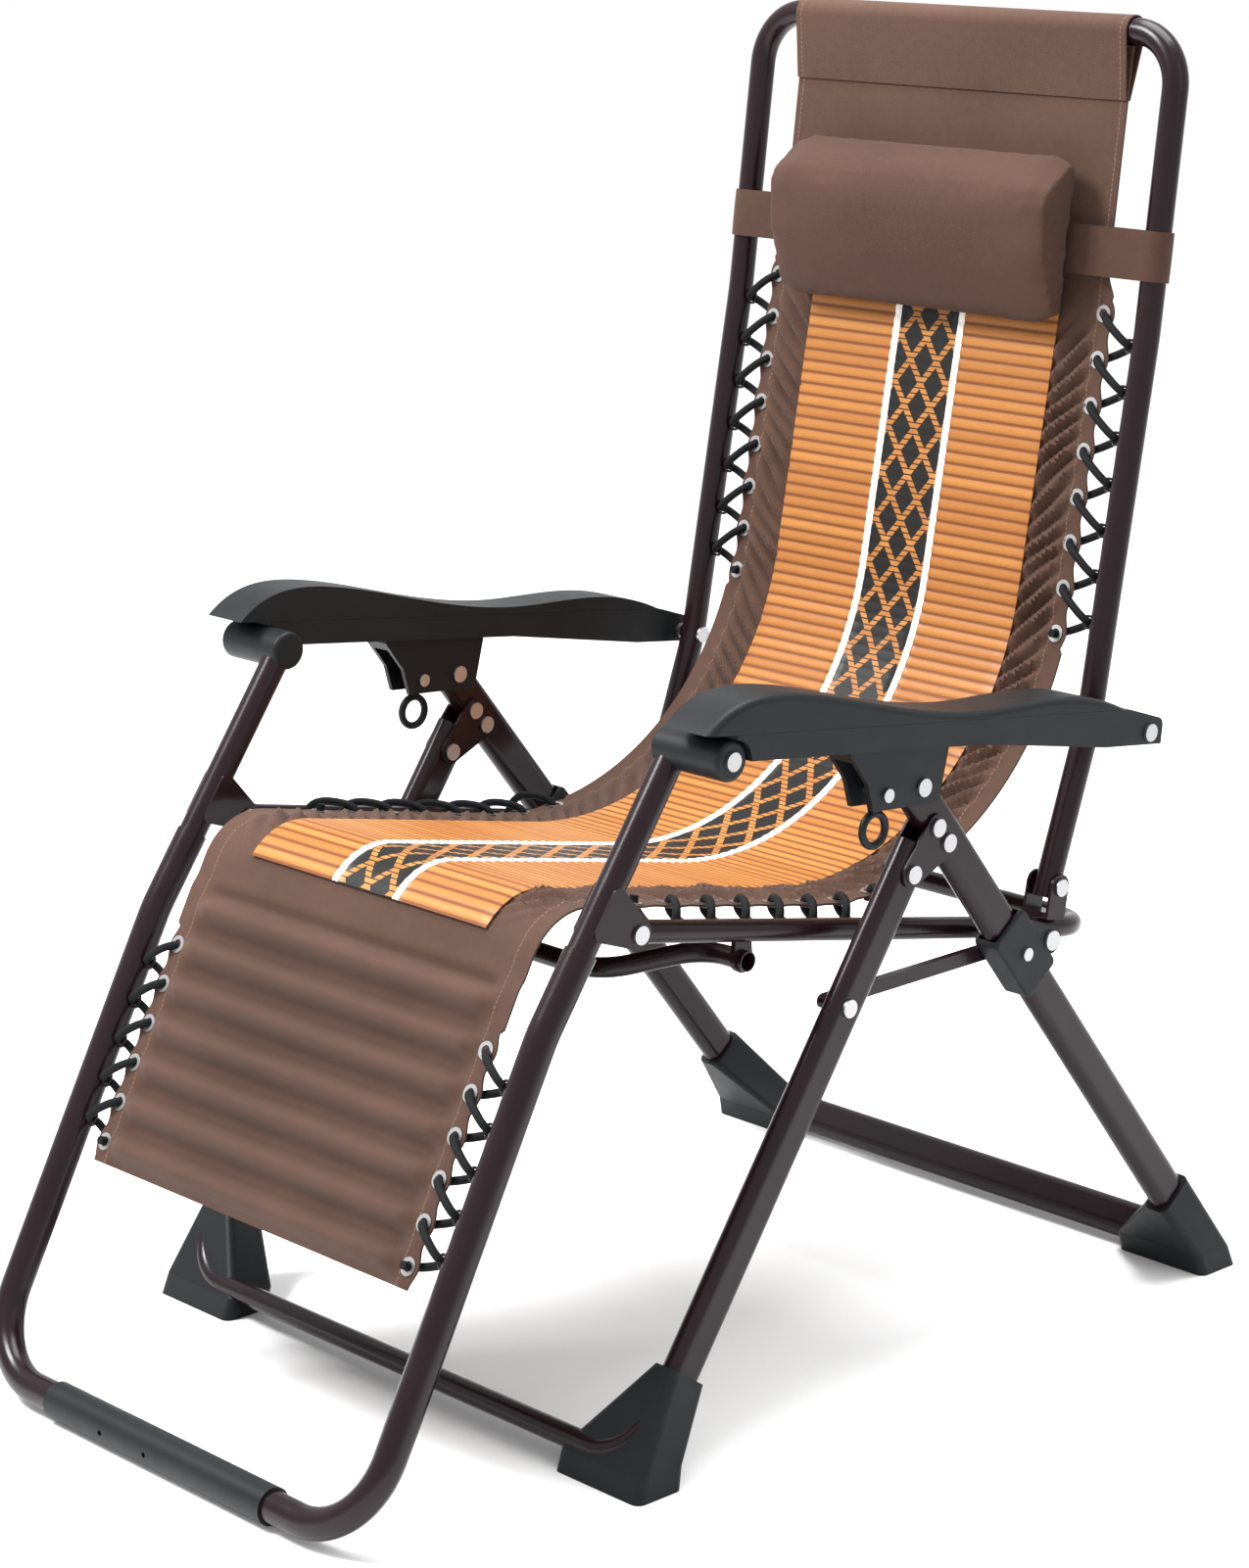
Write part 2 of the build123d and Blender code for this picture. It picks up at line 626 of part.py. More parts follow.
# Rollers on the upright tops, with the pins that the armrests turn on
upright_dir = (0, sin(radians(UPRIGHT_LEAN)), cos(radians(UPRIGHT_LEAN)))
pin_start = FRAME_HALF + UPRIGHT_TUBE / 2 + PIN_CLEAR
with BuildPart() as roller:
    with BuildSketch(Plane.YZ.offset(ROLLER_INNER)):
        with Locations(ROLLER_AXIS):
            Circle(ROLLER_R)
    extrude(amount=ROLLER_OUTER - ROLLER_INNER)
    fillet(roller.edges().filter_by(GeomType.CIRCLE), ROLLER_EDGE)
    with BuildSketch(Plane(origin=(FRAME_HALF, *ROLLER_AXIS), z_dir=upright_dir)):
        Circle(UPRIGHT_TUBE / 2 + RUN)
    extrude(amount=-2 * ROLLER_R, mode=Mode.SUBTRACT)
    with BuildSketch(Plane.YZ.offset(pin_start)):
        with Locations(ROLLER_AXIS):
            Circle(RIVET_R + RUN)
    extrude(amount=ROLLER_OUTER, mode=Mode.SUBTRACT)
write_pair(roller.part, "arm_roller")

with BuildPart() as roller_pins:
    for side in SIDES:
        turned(side, pin_start, ROLLER_OUTER + RIVET_HEAD, ROLLER_AXIS, RIVET_R)
        turned(side, ROLLER_OUTER, ROLLER_OUTER + RIVET_HEAD, ROLLER_AXIS, RIVET_HEAD_R)
write(roller_pins.part, "roller_pins")

# Armrest body: side outline along the line of its two pivots, with the bracket channel below
arm_side = side_plane(ARM_INNER, ROLLER_AXIS, ARM_FALL)
with BuildPart() as armrest_body:
    with BuildSketch(arm_side):
        with BuildLine():
            Polyline(
                (-ARM_NOSE, ARM_TOP),
                (-ARM_NOSE, 0),
                (CHANNEL_END, 0),
                (ARM_SPAN - REAR_LOW, -REAR_DROP),
                (ARM_SPAN + REAR_END, -REAR_DROP),
                (ARM_SPAN + REAR_END, REAR_RISE),
                (ARM_SPAN - REAR_HIGH, ARM_TOP),
                close=True,
            )
        make_face()
    extrude(amount=ARM_OUTER - ARM_INNER)
    fillet(armrest_body.edges().filter_by(Axis.X).group_by(Axis.Y)[-1], ARM_EDGE)
    with BuildSketch(arm_side):
        Circle(ROLLER_R + ROLLER_GAP)
        with Locations((-ROLLER_R, 0)):
            Rectangle(2 * ROLLER_R, 4 * ROLLER_R)
    extrude(amount=ARM_OUTER - ARM_INNER, mode=Mode.SUBTRACT)
    with BuildSketch(side_plane(LEG_HALF - CHANNEL_WIDTH / 2, ROLLER_AXIS, ARM_FALL)):
        with Locations(((CHANNEL_START + CHANNEL_END) / 2, 0)):
            Rectangle(CHANNEL_END - CHANNEL_START, 2 * CHANNEL_DEPTH)
    extrude(amount=CHANNEL_WIDTH, mode=Mode.SUBTRACT)
    drill((ARM_PIVOT,), RIVET_R + RUN)
write_pair(armrest_body.part, "armrest_body")

# Armrest pad: the crowned upper piece, high over the roller and low where the forearm ends
with BuildPart() as armrest_pad:
    with BuildSketch(arm_side):
        with BuildLine():
            base = ARM_TOP + PAD_GAP
            Line((-PAD_NOSE, base), (ARM_SPAN - PAD_END_BACK, base))
            Spline(
                (ARM_SPAN - PAD_END_BACK, base),
                (ARM_SPAN - PAD_TAIL_BACK, PAD_TAIL),
                (ARM_SPAN - PAD_DIP_BACK, PAD_DIP),
                (PAD_SLOPE_RUN, PAD_SLOPE),
                (PAD_CREST_RUN, PAD_CREST),
                (0, PAD_BROW),
                (-PAD_NOSE, base),
            )
        make_face()
    extrude(amount=ARM_OUTER - ARM_INNER)
    fillet(armrest_pad.faces().sort_by(Axis.Z)[-1].edges().filter_by(GeomType.BSPLINE), PAD_EDGE)
    with BuildSketch(arm_side):
        Circle(ROLLER_R + ROLLER_GAP)
    extrude(amount=ARM_OUTER - ARM_INNER, mode=Mode.SUBTRACT)
write_pair(armrest_pad.part, "armrest_pad")

# Rear armrest rivets with a spacer between the back tube and the armrest
with BuildPart() as arm_rear_rivets:
    for side in SIDES:
        riveted(side, FRAME_HALF - BACK_TUBE / 2, ARM_OUTER, ARM_PIVOT)
        turned(side, FRAME_HALF + BACK_TUBE / 2 + FACE_GAP, ARM_INNER - FACE_GAP, ARM_PIVOT, RIVET_HEAD_R)
write(arm_rear_rivets.part, "arm_rear_rivets")

# Bracket on the leg top: a head that runs in the armrest channel over two cheeks round the leg
BRACKET_IN = LEG_HALF - BRACKET_WIDTH / 2
BRACKET_OUT = LEG_HALF + BRACKET_WIDTH / 2
bracket_side = side_plane(BRACKET_IN, LEG_TOP, ARM_FALL)
with BuildPart() as arm_bracket:
    with BuildSketch(bracket_side):
        with BuildLine():
            Polyline(
                (-BRACKET_FRONT, BRACKET_HEAD),
                (BRACKET_REAR, BRACKET_HEAD),
                (BRACKET_REAR, BRACKET_SHOULDER),
                BRACKET_HEEL,
                BRACKET_TOE,
                BRACKET_THROAT,
                (-BRACKET_FRONT, BRACKET_SHOULDER),
                close=True,
            )
        make_face()
    extrude(amount=BRACKET_WIDTH)
    with BuildSketch(side_plane(LEG_IN - FACE_GAP, LEG_TOP, ARM_FALL)):
        with Locations((0, SLOT_ROOF)):
            Rectangle(4 * BRACKET_FRONT, 2 * BRACKET_FRONT, align=(Align.CENTER, Align.MAX))
    extrude(amount=LEG_THICK + 2 * FACE_GAP, mode=Mode.SUBTRACT)
    drill((LEG_TOP,), RIVET_R + RUN)
    drill((LEVER_PIVOT,), SMALL_RIVET_R + RUN)
write_pair(arm_bracket.part, "arm_bracket")

with BuildPart() as bracket_pivot_rivets:
    for side in SIDES:
        riveted(side, BRACKET_IN, BRACKET_OUT, LEG_TOP)
write(bracket_pivot_rivets.part, "bracket_pivot_rivets")

with BuildPart() as lever_pins:
    for side in SIDES:
        riveted(side, BRACKET_IN, BRACKET_OUT, LEVER_PIVOT, SMALL_RIVET_R, SMALL_HEAD_R)
write(lever_pins.part, "lever_pins")

# Lock lever: an eye with a cam nose above the pin and a finger ring below
ring_centre = (LEVER_PIVOT[0], LEVER_PIVOT[1] - RING_DROP)
with BuildPart() as lock_lever:
    with BuildSketch(Plane.YZ.offset(LEG_HALF - LEVER_THICK / 2)):
        with Locations(LEVER_PIVOT):
            Circle(LEVER_EYE)
        with Locations((LEVER_PIVOT[0] - CAM_AHEAD, LEVER_PIVOT[1] + CAM_RISE)):
            Circle(CAM_R)
        with Locations((ring_centre[0], ring_centre[1] + RING_R + RING_STOCK)):
            Circle(LEVER_STEM)
        make_hull()
        with Locations(LEVER_PIVOT):
            Circle(SMALL_RIVET_R + RUN, mode=Mode.SUBTRACT)
    extrude(amount=LEVER_THICK)
    with BuildLine(Plane.YZ.offset(LEG_HALF)) as ring_run:
        CenterArc(ring_centre, RING_R, 0, 360)
    with BuildSketch(Plane(origin=ring_run.line @ 0, z_dir=ring_run.line % 0)):
        Circle(RING_STOCK)
    sweep(path=ring_run.line)
write_pair(lock_lever.part, "lock_lever")


def facing(lean):
    """Side-view direction square to a line, towards the sitter."""
    return (-cos(radians(lean)), sin(radians(lean)))


def shifted(point, lean, amount):
    """Point moved towards the sitter, square to a line."""
    out = facing(lean)
    return (point[0] + amount * out[0], point[1] + amount * out[1])


def meet(p, p_lean, q, q_lean):
    """Where two leaning lines cross in the side view."""
    a = radians(p_lean)
    b = radians(q_lean)
    run = ((q[0] - p[0]) * cos(b) - (q[1] - p[1]) * sin(b)) / sin(a - b)
    return along(p, p_lean, run)


def sling_line(offset):
    """Centre line from the top bar to below the seat front, moved towards the sitter by offset."""
    head = shifted(TOP_BAR, HEAD_LEAN, offset)
    back = shifted(NECK, BACK_LEAN, offset)
    seat = shifted(SEAT_FRONT, RAIL_LEAN, SLING_RAISE + offset)
    foot = shifted(FOOT_TURN, FOOT_LEAN, offset)
    neck = meet(head, HEAD_LEAN, back, BACK_LEAN)
    rear = meet(back, BACK_LEAN, seat, RAIL_LEAN)
    nose = meet(seat, RAIL_LEAN, foot, FOOT_LEAN)
    start = along(head, HEAD_LEAN, -(BACK_TUBE + SLING_THICK) / 2)
    end = along(nose, FOOT_LEAN, -NOSE_DROP)
    with BuildLine() as run:
        FilletPolyline(
            start, neck, rear, nose, end, radius=[HEAD_SWEEP, SLING_SWEEP - offset, SLING_NOSE + offset]
        )
    return run.wire()


def stretch(line, low, high):
    """Part of a line between two lengths from its start."""
    return line.trim(low / line.length, high / line.length)


def sheet(run, half, thick):
    """Strip of sheet that follows a side-view line, as wide as the sling part."""
    with BuildPart() as piece:
        with BuildSketch(Plane.YZ) as section:
            trace(run, thick)
        extrude(section.sketch, amount=half, both=True)
    return piece.part


fabric = sling_line(0.0)
fabric_end = fabric.length


def eyelet_planes(line, first):
    """Planes at the eyelets of the left edge, facing the sitter; first is the run to the top one."""
    planes = []
    for step in range(EDGE_EYELETS):
        run = first + EYELET_PITCH * step
        spot = line.position_at(run, position_mode=PositionMode.LENGTH)
        heading = line.tangent_at(run, position_mode=PositionMode.LENGTH)
        square = (0, heading.Y, -heading.X)
        planes.append(Plane(origin=(EYELET_X, spot.X, spot.Y), x_dir=(1, 0, 0), z_dir=square))
    return planes


def both_sides(planes):
    """The same planes on the left and on the right."""
    right = []
    for plane in planes:
        spot = plane.origin
        right.append(Plane(origin=(-spot.X, spot.Y, spot.Z), x_dir=(1, 0, 0), z_dir=plane.z_dir))
    return planes + right


def punched(part, planes):
    """Sheet with a hole for each eyelet barrel."""
    with BuildPart() as piece:
        add(part)
        for plane in both_sides(planes):
            with BuildSketch(plane) as hole:
                Circle(EYELET_BARREL + RUN)
            extrude(hole.sketch, amount=4 * SLING_THICK, both=True, mode=Mode.SUBTRACT)
    return piece.part


def eyelets(planes):
    """One ring a hole: a barrel with a flange on each face of the sheet."""
    face = SLING_THICK / 2 + EYELET_FIT
    with BuildPart() as rings:
        for plane in both_sides(planes):
            with BuildSketch(plane) as barrel:
                Circle(EYELET_BARREL)
                Circle(EYELET_BORE, mode=Mode.SUBTRACT)
            extrude(barrel.sketch, amount=face, both=True)
            for way in SIDES:
                with BuildSketch(plane.offset(way * face)) as flange:
                    Circle(EYELET_FLANGE)
                    Circle(EYELET_BORE, mode=Mode.SUBTRACT)
                extrude(flange.sketch, amount=way * EYELET_LIP)
    return rings.part


# Back of the sling, with the tunnel over the top bar
back_planes = eyelet_planes(fabric, BACK_EYELETS)
back_sheet = sheet(stretch(fabric, HEAD_PANEL, SLING_SPLIT), SLING_HALF, SLING_THICK)
with BuildPart() as sling_back:
    add(punched(back_sheet, back_planes))
    add(sheet(stretch(fabric, 0, HEAD_PANEL), TUNNEL_HALF, SLING_THICK))
    with BuildSketch(Plane.YZ):
        with Locations(TOP_BAR):
            Circle(BACK_TUBE / 2 + FACE_GAP + SLING_THICK)
            Circle(BACK_TUBE / 2 + FACE_GAP, mode=Mode.SUBTRACT)
    extrude(amount=TUNNEL_HALF, both=True)
    with BuildSketch(Plane.YZ):
        with Locations(TOP_BAR):
            Circle(BACK_TUBE / 2 + FACE_GAP)
    extrude(amount=TUNNEL_HALF, both=True, mode=Mode.SUBTRACT)
write(sling_back.part, "sling_back")

back_eyelets = eyelets(back_planes)
write(back_eyelets, "back_eyelets")

# Seat of the sling, from the small of the back to below the seat front
seat_planes = eyelet_planes(fabric, SEAT_EYELETS)
seat_sheet = sheet(stretch(fabric, SLING_SPLIT, fabric_end), SLING_HALF, SLING_THICK)
sling_seat = punched(seat_sheet, seat_planes)
write(sling_seat, "sling_seat")

seat_eyelets = eyelets(seat_planes)
write(seat_eyelets, "seat_eyelets")

# Foot panel: a row of soft rolls in the plane of the foot loop
foot_nose = meet(FOOT_TURN, FOOT_LEAN, shifted(SEAT_FRONT, RAIL_LEAN, SLING_RAISE), RAIL_LEAN)
foot_top = along(foot_nose, FOOT_LEAN, -NOSE_DROP - SHEET_GAP)
with BuildLine() as foot_run:
    for roll in range(FOOT_ROLLS):
        high = along(foot_top, FOOT_LEAN, -roll * ROLL_PITCH)
        low = along(foot_top, FOOT_LEAN, -(roll + 1) * ROLL_PITCH)
        crest = shifted(along(high, FOOT_LEAN, -ROLL_PITCH / 2), FOOT_LEAN, ROLL_HEIGHT)
        ThreePointArc(high, crest, low)
foot_edge = shifted(foot_top, FOOT_LEAN, ROLL_HEIGHT / 2)
foot_length = FOOT_ROLLS * ROLL_PITCH
foot_planes = [
    Plane(
        origin=(EYELET_X, *along(foot_edge, FOOT_LEAN, -(roll + 0.5) * ROLL_PITCH)),
        x_dir=(1, 0, 0),
        z_dir=(0, *facing(FOOT_LEAN)),
    )
    for roll in range(1, FOOT_ROLLS)
]
with BuildLine() as edge_run:
    Line(foot_edge, along(foot_edge, FOOT_LEAN, -foot_length))
with BuildPart() as foot_sheet:
    add(sheet(edge_run.wire(), SLING_HALF, SLING_THICK))
    with BuildSketch(Plane.YZ) as between:
        Rectangle(4 * LEG_HALF, 4 * LEG_HALF)
    extrude(between.sketch, amount=EDGE_STRIP, both=True, mode=Mode.SUBTRACT)
    add(sheet(foot_run.wire(), EDGE_STRIP, SLING_THICK))
sling_foot = punched(foot_sheet.part, foot_planes)
write(sling_foot, "sling_foot")

foot_eyelets = eyelets(foot_planes)
write(foot_eyelets, "foot_eyelets")


def cord_turns(planes, start, lean):
    """Points of a leaning tube line where the cord turns, one below each eyelet but the last."""
    feet = [meet(start, lean, (plane.origin.Y, plane.origin.Z), lean + 90) for plane in planes]
    pairs = zip(feet, feet[1:])
    return [tuple(n + CORD_SHARE * (f - n) for n, f in zip(near, far)) for near, far in pairs]


def lacing(planes, start, lean, tube):
    """Elastic cord: through each left eyelet, down to a loop on the tube and back behind the sheet."""
    across = FRAME_HALF - tube / 2 - CORD / 2 - CORD_CLEAR
    turns = cord_turns(planes, start, lean)
    points = []
    for step, plane in enumerate(planes):
        spot = (plane.origin.Y, plane.origin.Z)
        foot = meet(start, lean, spot, lean + 90)
        rise = hypot(spot[0] - foot[0], spot[1] - foot[1])
        points.append((EYELET_X, *shifted(spot, lean, -CORD_DIP)))
        points.append((EYELET_X, *shifted(spot, lean, CORD_DIP)))
        if step < len(turns):
            points.append((across, *shifted(turns[step], lean, rise + CORD_PASS)))
            points.append((across, *shifted(turns[step], lean, -CORD_PASS - CORD_UNDER * rise)))
    with BuildPart() as cord:
        with BuildLine() as run:
            FilletPolyline(*points, radius=CORD_TURN)
        with BuildSketch(Plane(origin=run.line @ 0, z_dir=run.line % 0)):
            Circle(CORD / 2)
        sweep()
    return cord.part


def cord_loops(planes, start, lean, tube, frame):
    """Wire loops on the inner sides of a pair of tubes, one for each turn of the cords."""
    wall = FRAME_HALF - tube / 2
    bight = wall - CORD - 2 * CORD_CLEAR - LOOP_WIRE / 2
    reach = CORD / 2 + CORD_CLEAR + LOOP_WIRE / 2
    with BuildPart() as loops:
        for side in SIDES:
            for spot in cord_turns(planes, start, lean):
                low = along(spot, lean, -reach)
                high = along(spot, lean, reach)
                with BuildLine() as run:
                    FilletPolyline(
                        (side * (wall + TUBE_WALL / 2), *low),
                        (side * bight, *low),
                        (side * bight, *high),
                        (side * (wall + TUBE_WALL / 2), *high),
                        radius=LOOP_WIRE,
                    )
                with BuildSketch(Plane(origin=run.line @ 0, z_dir=run.line % 0)):
                    Circle(LOOP_WIRE / 2)
                sweep(path=run.line)
        add(frame, mode=Mode.SUBTRACT)
    return loops.part


BACK_LACE = (back_planes, ARM_PIVOT, BACK_LEAN, BACK_TUBE)
SEAT_LACE = (seat_planes, SEAT_FRONT, RAIL_LEAN, SEAT_TUBE)
FOOT_LACE = (foot_planes, FOOT_TURN, FOOT_LEAN, FOOT_TUBE)
write_pair(lacing(*BACK_LACE), "back_lacing")
write_pair(lacing(*SEAT_LACE), "seat_lacing")
write_pair(lacing(*FOOT_LACE), "foot_lacing")
write(cord_loops(*BACK_LACE, back_tube), "back_loops")
write(cord_loops(*SEAT_LACE, seat_tube.part), "seat_loops")
write(cord_loops(*FOOT_LACE, foot_tube), "foot_loops")

# Bamboo mat on the back and the seat
mat_line = sling_line(SLING_THICK / 2 + FACE_GAP + MAT_THICK / 2)
write(sheet(stretch(mat_line, MAT_TOP, SLING_SPLIT), MAT_HALF, MAT_THICK), "mat_back")
write(sheet(stretch(mat_line, SLING_SPLIT, mat_line.length - MAT_NOSE), MAT_HALF, MAT_THICK), "mat_seat")

# Headrest: a wedge pillow in front of a strap that goes round both back tubes
pillow_back = BACK_TUBE / 2 + STRAP_FIT + STRAP_THICK + PILLOW_CLEAR


def pillow_section(x, share):
    """Wedge outline across the pillow, drawn in by a share about its middle."""
    middle = (PILLOW_DEPTH / 2 + pillow_back, PILLOW_HIGH / 2)
    outline = (
        (pillow_back, PILLOW_CHAMFER),
        (pillow_back, PILLOW_HIGH - PILLOW_CHAMFER),
        (pillow_back + PILLOW_CROWN, PILLOW_HIGH),
        (pillow_back + PILLOW_DEPTH - PILLOW_LIP, PILLOW_BROW + PILLOW_CROWN),
        (pillow_back + PILLOW_DEPTH, PILLOW_BROW - PILLOW_CROWN),
        (pillow_back + PILLOW_DEPTH - PILLOW_CHIN_IN, PILLOW_CHIN),
        (pillow_back + PILLOW_SOLE, 0),
    )
    plane = Plane(
        origin=(x, *NECK),
        x_dir=(0, *facing(HEAD_LEAN)),
        z_dir=(-1, 0, 0),
    )
    points = [tuple(m + (v - m) * share for v, m in zip(point, middle)) for point in outline]
    with BuildSketch(plane) as section:
        with BuildLine():
            Polyline(*points, close=True)
        make_face()
        fillet(section.vertices(), PILLOW_CORNER * share)
    return section.sketch


with BuildPart() as headrest_pillow:
    waist = PILLOW_HALF * PILLOW_WAIST
    loft(
        sections=[
            pillow_section(PILLOW_HALF, PILLOW_END),
            pillow_section(waist, 1.0),
            pillow_section(-waist, 1.0),
            pillow_section(-PILLOW_HALF, PILLOW_END),
        ]
    )
write(headrest_pillow.part, "headrest_pillow")

strap_plane = Plane(
    origin=(0, *along(NECK, HEAD_LEAN, STRAP_RUN)),
    x_dir=(1, 0, 0),
    z_dir=(0, sin(radians(HEAD_LEAN)), cos(radians(HEAD_LEAN))),
)
strap_inner = BACK_TUBE + 2 * STRAP_FIT
with BuildPart() as headrest_strap:
    with BuildSketch(strap_plane):
        SlotCenterToCenter(2 * FRAME_HALF, strap_inner + 2 * STRAP_THICK)
        SlotCenterToCenter(2 * FRAME_HALF, strap_inner, mode=Mode.SUBTRACT)
    extrude(amount=STRAP_WIDTH)
write(headrest_strap.part, "headrest_strap")
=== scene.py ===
import json
from math import acos, asin, cos, pi, radians, sin, tan

import bpy
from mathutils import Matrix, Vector, noise


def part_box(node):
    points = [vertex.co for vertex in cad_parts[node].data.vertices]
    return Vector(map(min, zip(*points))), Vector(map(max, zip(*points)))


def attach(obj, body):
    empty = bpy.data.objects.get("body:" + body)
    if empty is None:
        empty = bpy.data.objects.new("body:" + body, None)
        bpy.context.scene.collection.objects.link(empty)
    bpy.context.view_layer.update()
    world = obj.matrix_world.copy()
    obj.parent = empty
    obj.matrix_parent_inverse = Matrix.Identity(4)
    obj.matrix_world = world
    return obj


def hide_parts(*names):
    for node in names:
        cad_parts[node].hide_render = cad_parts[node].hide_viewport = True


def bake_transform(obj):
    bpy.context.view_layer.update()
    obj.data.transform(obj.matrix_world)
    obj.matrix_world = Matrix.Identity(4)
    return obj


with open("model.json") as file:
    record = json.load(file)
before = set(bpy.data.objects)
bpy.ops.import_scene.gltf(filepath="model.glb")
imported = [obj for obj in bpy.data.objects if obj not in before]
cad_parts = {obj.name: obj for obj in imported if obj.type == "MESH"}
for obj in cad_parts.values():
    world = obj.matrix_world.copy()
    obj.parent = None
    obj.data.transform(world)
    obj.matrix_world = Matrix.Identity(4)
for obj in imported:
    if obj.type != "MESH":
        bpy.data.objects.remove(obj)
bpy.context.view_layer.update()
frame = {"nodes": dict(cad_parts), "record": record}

MM = 0.001

# Side view of the frame in millimetres, as (y, z), with leans rearward from the vertical in degrees
SEAT_FRONT = (-213.0, 469.0)
ARM_PIVOT = (365.0, 552.0)
FOOT_TURN = (-309.7, 400.3)
BACK_LEAN = 10.6
HEAD_LEAN = 7.4
RAIL_LEAN = 101.07
FOOT_LEAN = 27.64
BACK_STRAIGHT = 350.0
HEAD_STRAIGHT = 268.0
FRAME_HALF = 257.0
SEAT_TUBE = 20.0
BACK_TUBE = 24.0
FOOT_TUBE = 28.0

# Sling, mat and lacing in millimetres
SLING_HALF = 217.0
HEAD_HALF = 205.0
SLING_RAISE = 12.0
SLING_SWEEP = 280.0
SLING_NOSE = 60.0
SLING_BELOW_BAR = 13.2
HEAD_SWEEP = 300.0
NOSE_DROP = 71.5
CLOTH = 2.0
WRAP_CLOTH = 1.6
WRAP_OFF = 1.6
MAT_HALF = 155.0
MAT_CLOTH = 1.4
MAT_LIFT = 4.2
MAT_SINK = 1.2
MAT_EDGE = 3.0
SLAT = 11.0
SLAT_HEIGHT = 1.3
SLAT_ROUND = 0.6
STRIPE = 40.0
BAND_HALF = STRIPE - 2.0
BRAID_HALF = 3.6
BRAID_HEIGHT = 1.7
EYELET_X = 206.0
EYELET_PITCH = 42.0
EYELETS = 8
BACK_FIRST = 240.0
SEAT_FIRST = 870.0
BACK_EYELETS = [BACK_FIRST + EYELET_PITCH * step for step in range(EYELETS)]
SEAT_EYELETS = [SEAT_FIRST + EYELET_PITCH * step for step in range(EYELETS)]
ROLL_PITCH = 37.0
ROLLS = 7
FOOT_LIFT = 2.5
CORD = 7.5
CORD_CLEAR = 0.45
CORD_DIP = 8.0
CORD_PASS = 6.5
CORD_SHARE = 0.62
CORD_UNDER = 0.4

# Runs from the top of the sling to where it passes from one frame to the next
BACK_STIFF = 552.0
REAR_FOLD = 715.0
SEAT_STIFF = 860.0
NOSE_STIFF = 1190.0
NOSE_FOLD = 1255.0
FOOT_STIFF = 1340.0
MAT_TOP = 212.0
MAT_END = 1288.0
HEM_RUN = 62.0

# Runs between which the sling widens and is laced, and how far its edge draws in from a half-width on
WIDENING = (200.0, 236.0)
BACK_LACED = (225.0, 550.0)
SEAT_LACED = (850.0, 1180.0)
EDGE_DRAW = 4.5
EDGE_DRAW_FROM = 200.0

# Pleats beside the mat: half-widths and runs over which they start and end, and their shape
PLEAT_FROM = 140.0
PLEAT_FADE = 8.0
PLEAT_OUT = (186.0, 206.0)
PLEAT_TOP = (225.0, 275.0)
PLEAT_END = (1225.0, 1285.0)
PLEAT_PITCH = 21.0
PLEAT_HEIGHT = 4.6
PLEAT_RAISE = 0.35
PLEAT_SLANT = 0.9
PLEAT_DRIFT = 16.0
PLEAT_DRIFT_RUN = 70.0
PLEAT_VARIES = 0.6
PLEAT_VARIES_RUN = 33.0

# Rolls of the foot panel: the half-widths over which they flatten, and their shape
ROLL_FLAT = (178.0, 203.0)
ROLL_BEFORE = 12.0
ROLL_AFTER = 4.0
ROLL_HEIGHT = 15.0
ROLL_SINK = 4.0
ROLL_VARIES = 0.12
ROLL_VARIES_SIZE = (60.0, 25.0)

# Headrest: the pillow's middle off the neck, how its plain solid is drawn in, its filling, and the belt
PILLOW_MID = (40.7, 76.0)
PILLOW_INSIDE = 0.985
PILLOW_BULGE = 1.129
PILLOW_BULGE_FALL = 8.136e-6
PILLOW_FULL = 1.05
PILLOW_TAPER = 0.1
PILLOW_TAPERS = (148.0, 175.0)
PILLOW_GRID = 3.5
PILLOW_PRESSURE = 0.8
PILLOW_FRAMES = 20
PILLOW_RISE = 0.003
PILLOW_UV_LEAN = 0.6
BELT_LOW = 48.0
BELT_WIDE = 45.0
BELT_BOW = 0.5


def along(start, lean, run):
    """Point reached from start by a run along a line that leans rearward from the vertical."""
    return (start[0] + run * sin(radians(lean)), start[1] + run * cos(radians(lean)))


def shifted(point, lean, amount):
    """Point moved towards the sitter, square to a leaning line."""
    return (point[0] - amount * cos(radians(lean)), point[1] + amount * sin(radians(lean)))


def meet(p, p_lean, q, q_lean):
    """Where two leaning lines cross."""
    a = radians(p_lean)
    b = radians(q_lean)
    run = ((q[0] - p[0]) * cos(b) - (q[1] - p[1]) * sin(b)) / sin(a - b)
    return along(p, p_lean, run)


def soft_step(low, high, value):
    """0 below low, 1 above high, and a soft step between."""
    t = min(1.0, max(0.0, (value - low) / (high - low)))
    return t * t * (3 - 2 * t)


# The sling's side-view line: straight runs and tangent arcs
NECK = along(ARM_PIVOT, BACK_LEAN, BACK_STRAIGHT)
TOP_BAR = along(NECK, HEAD_LEAN, HEAD_STRAIGHT)
seat_start = shifted(SEAT_FRONT, RAIL_LEAN, SLING_RAISE)
rear_corner = meet(NECK, BACK_LEAN, seat_start, RAIL_LEAN)
nose_corner = meet(seat_start, RAIL_LEAN, FOOT_TURN, FOOT_LEAN)
foot_top = along(nose_corner, FOOT_LEAN, -NOSE_DROP)
foot_end = along(foot_top, FOOT_LEAN, -ROLLS * ROLL_PITCH)


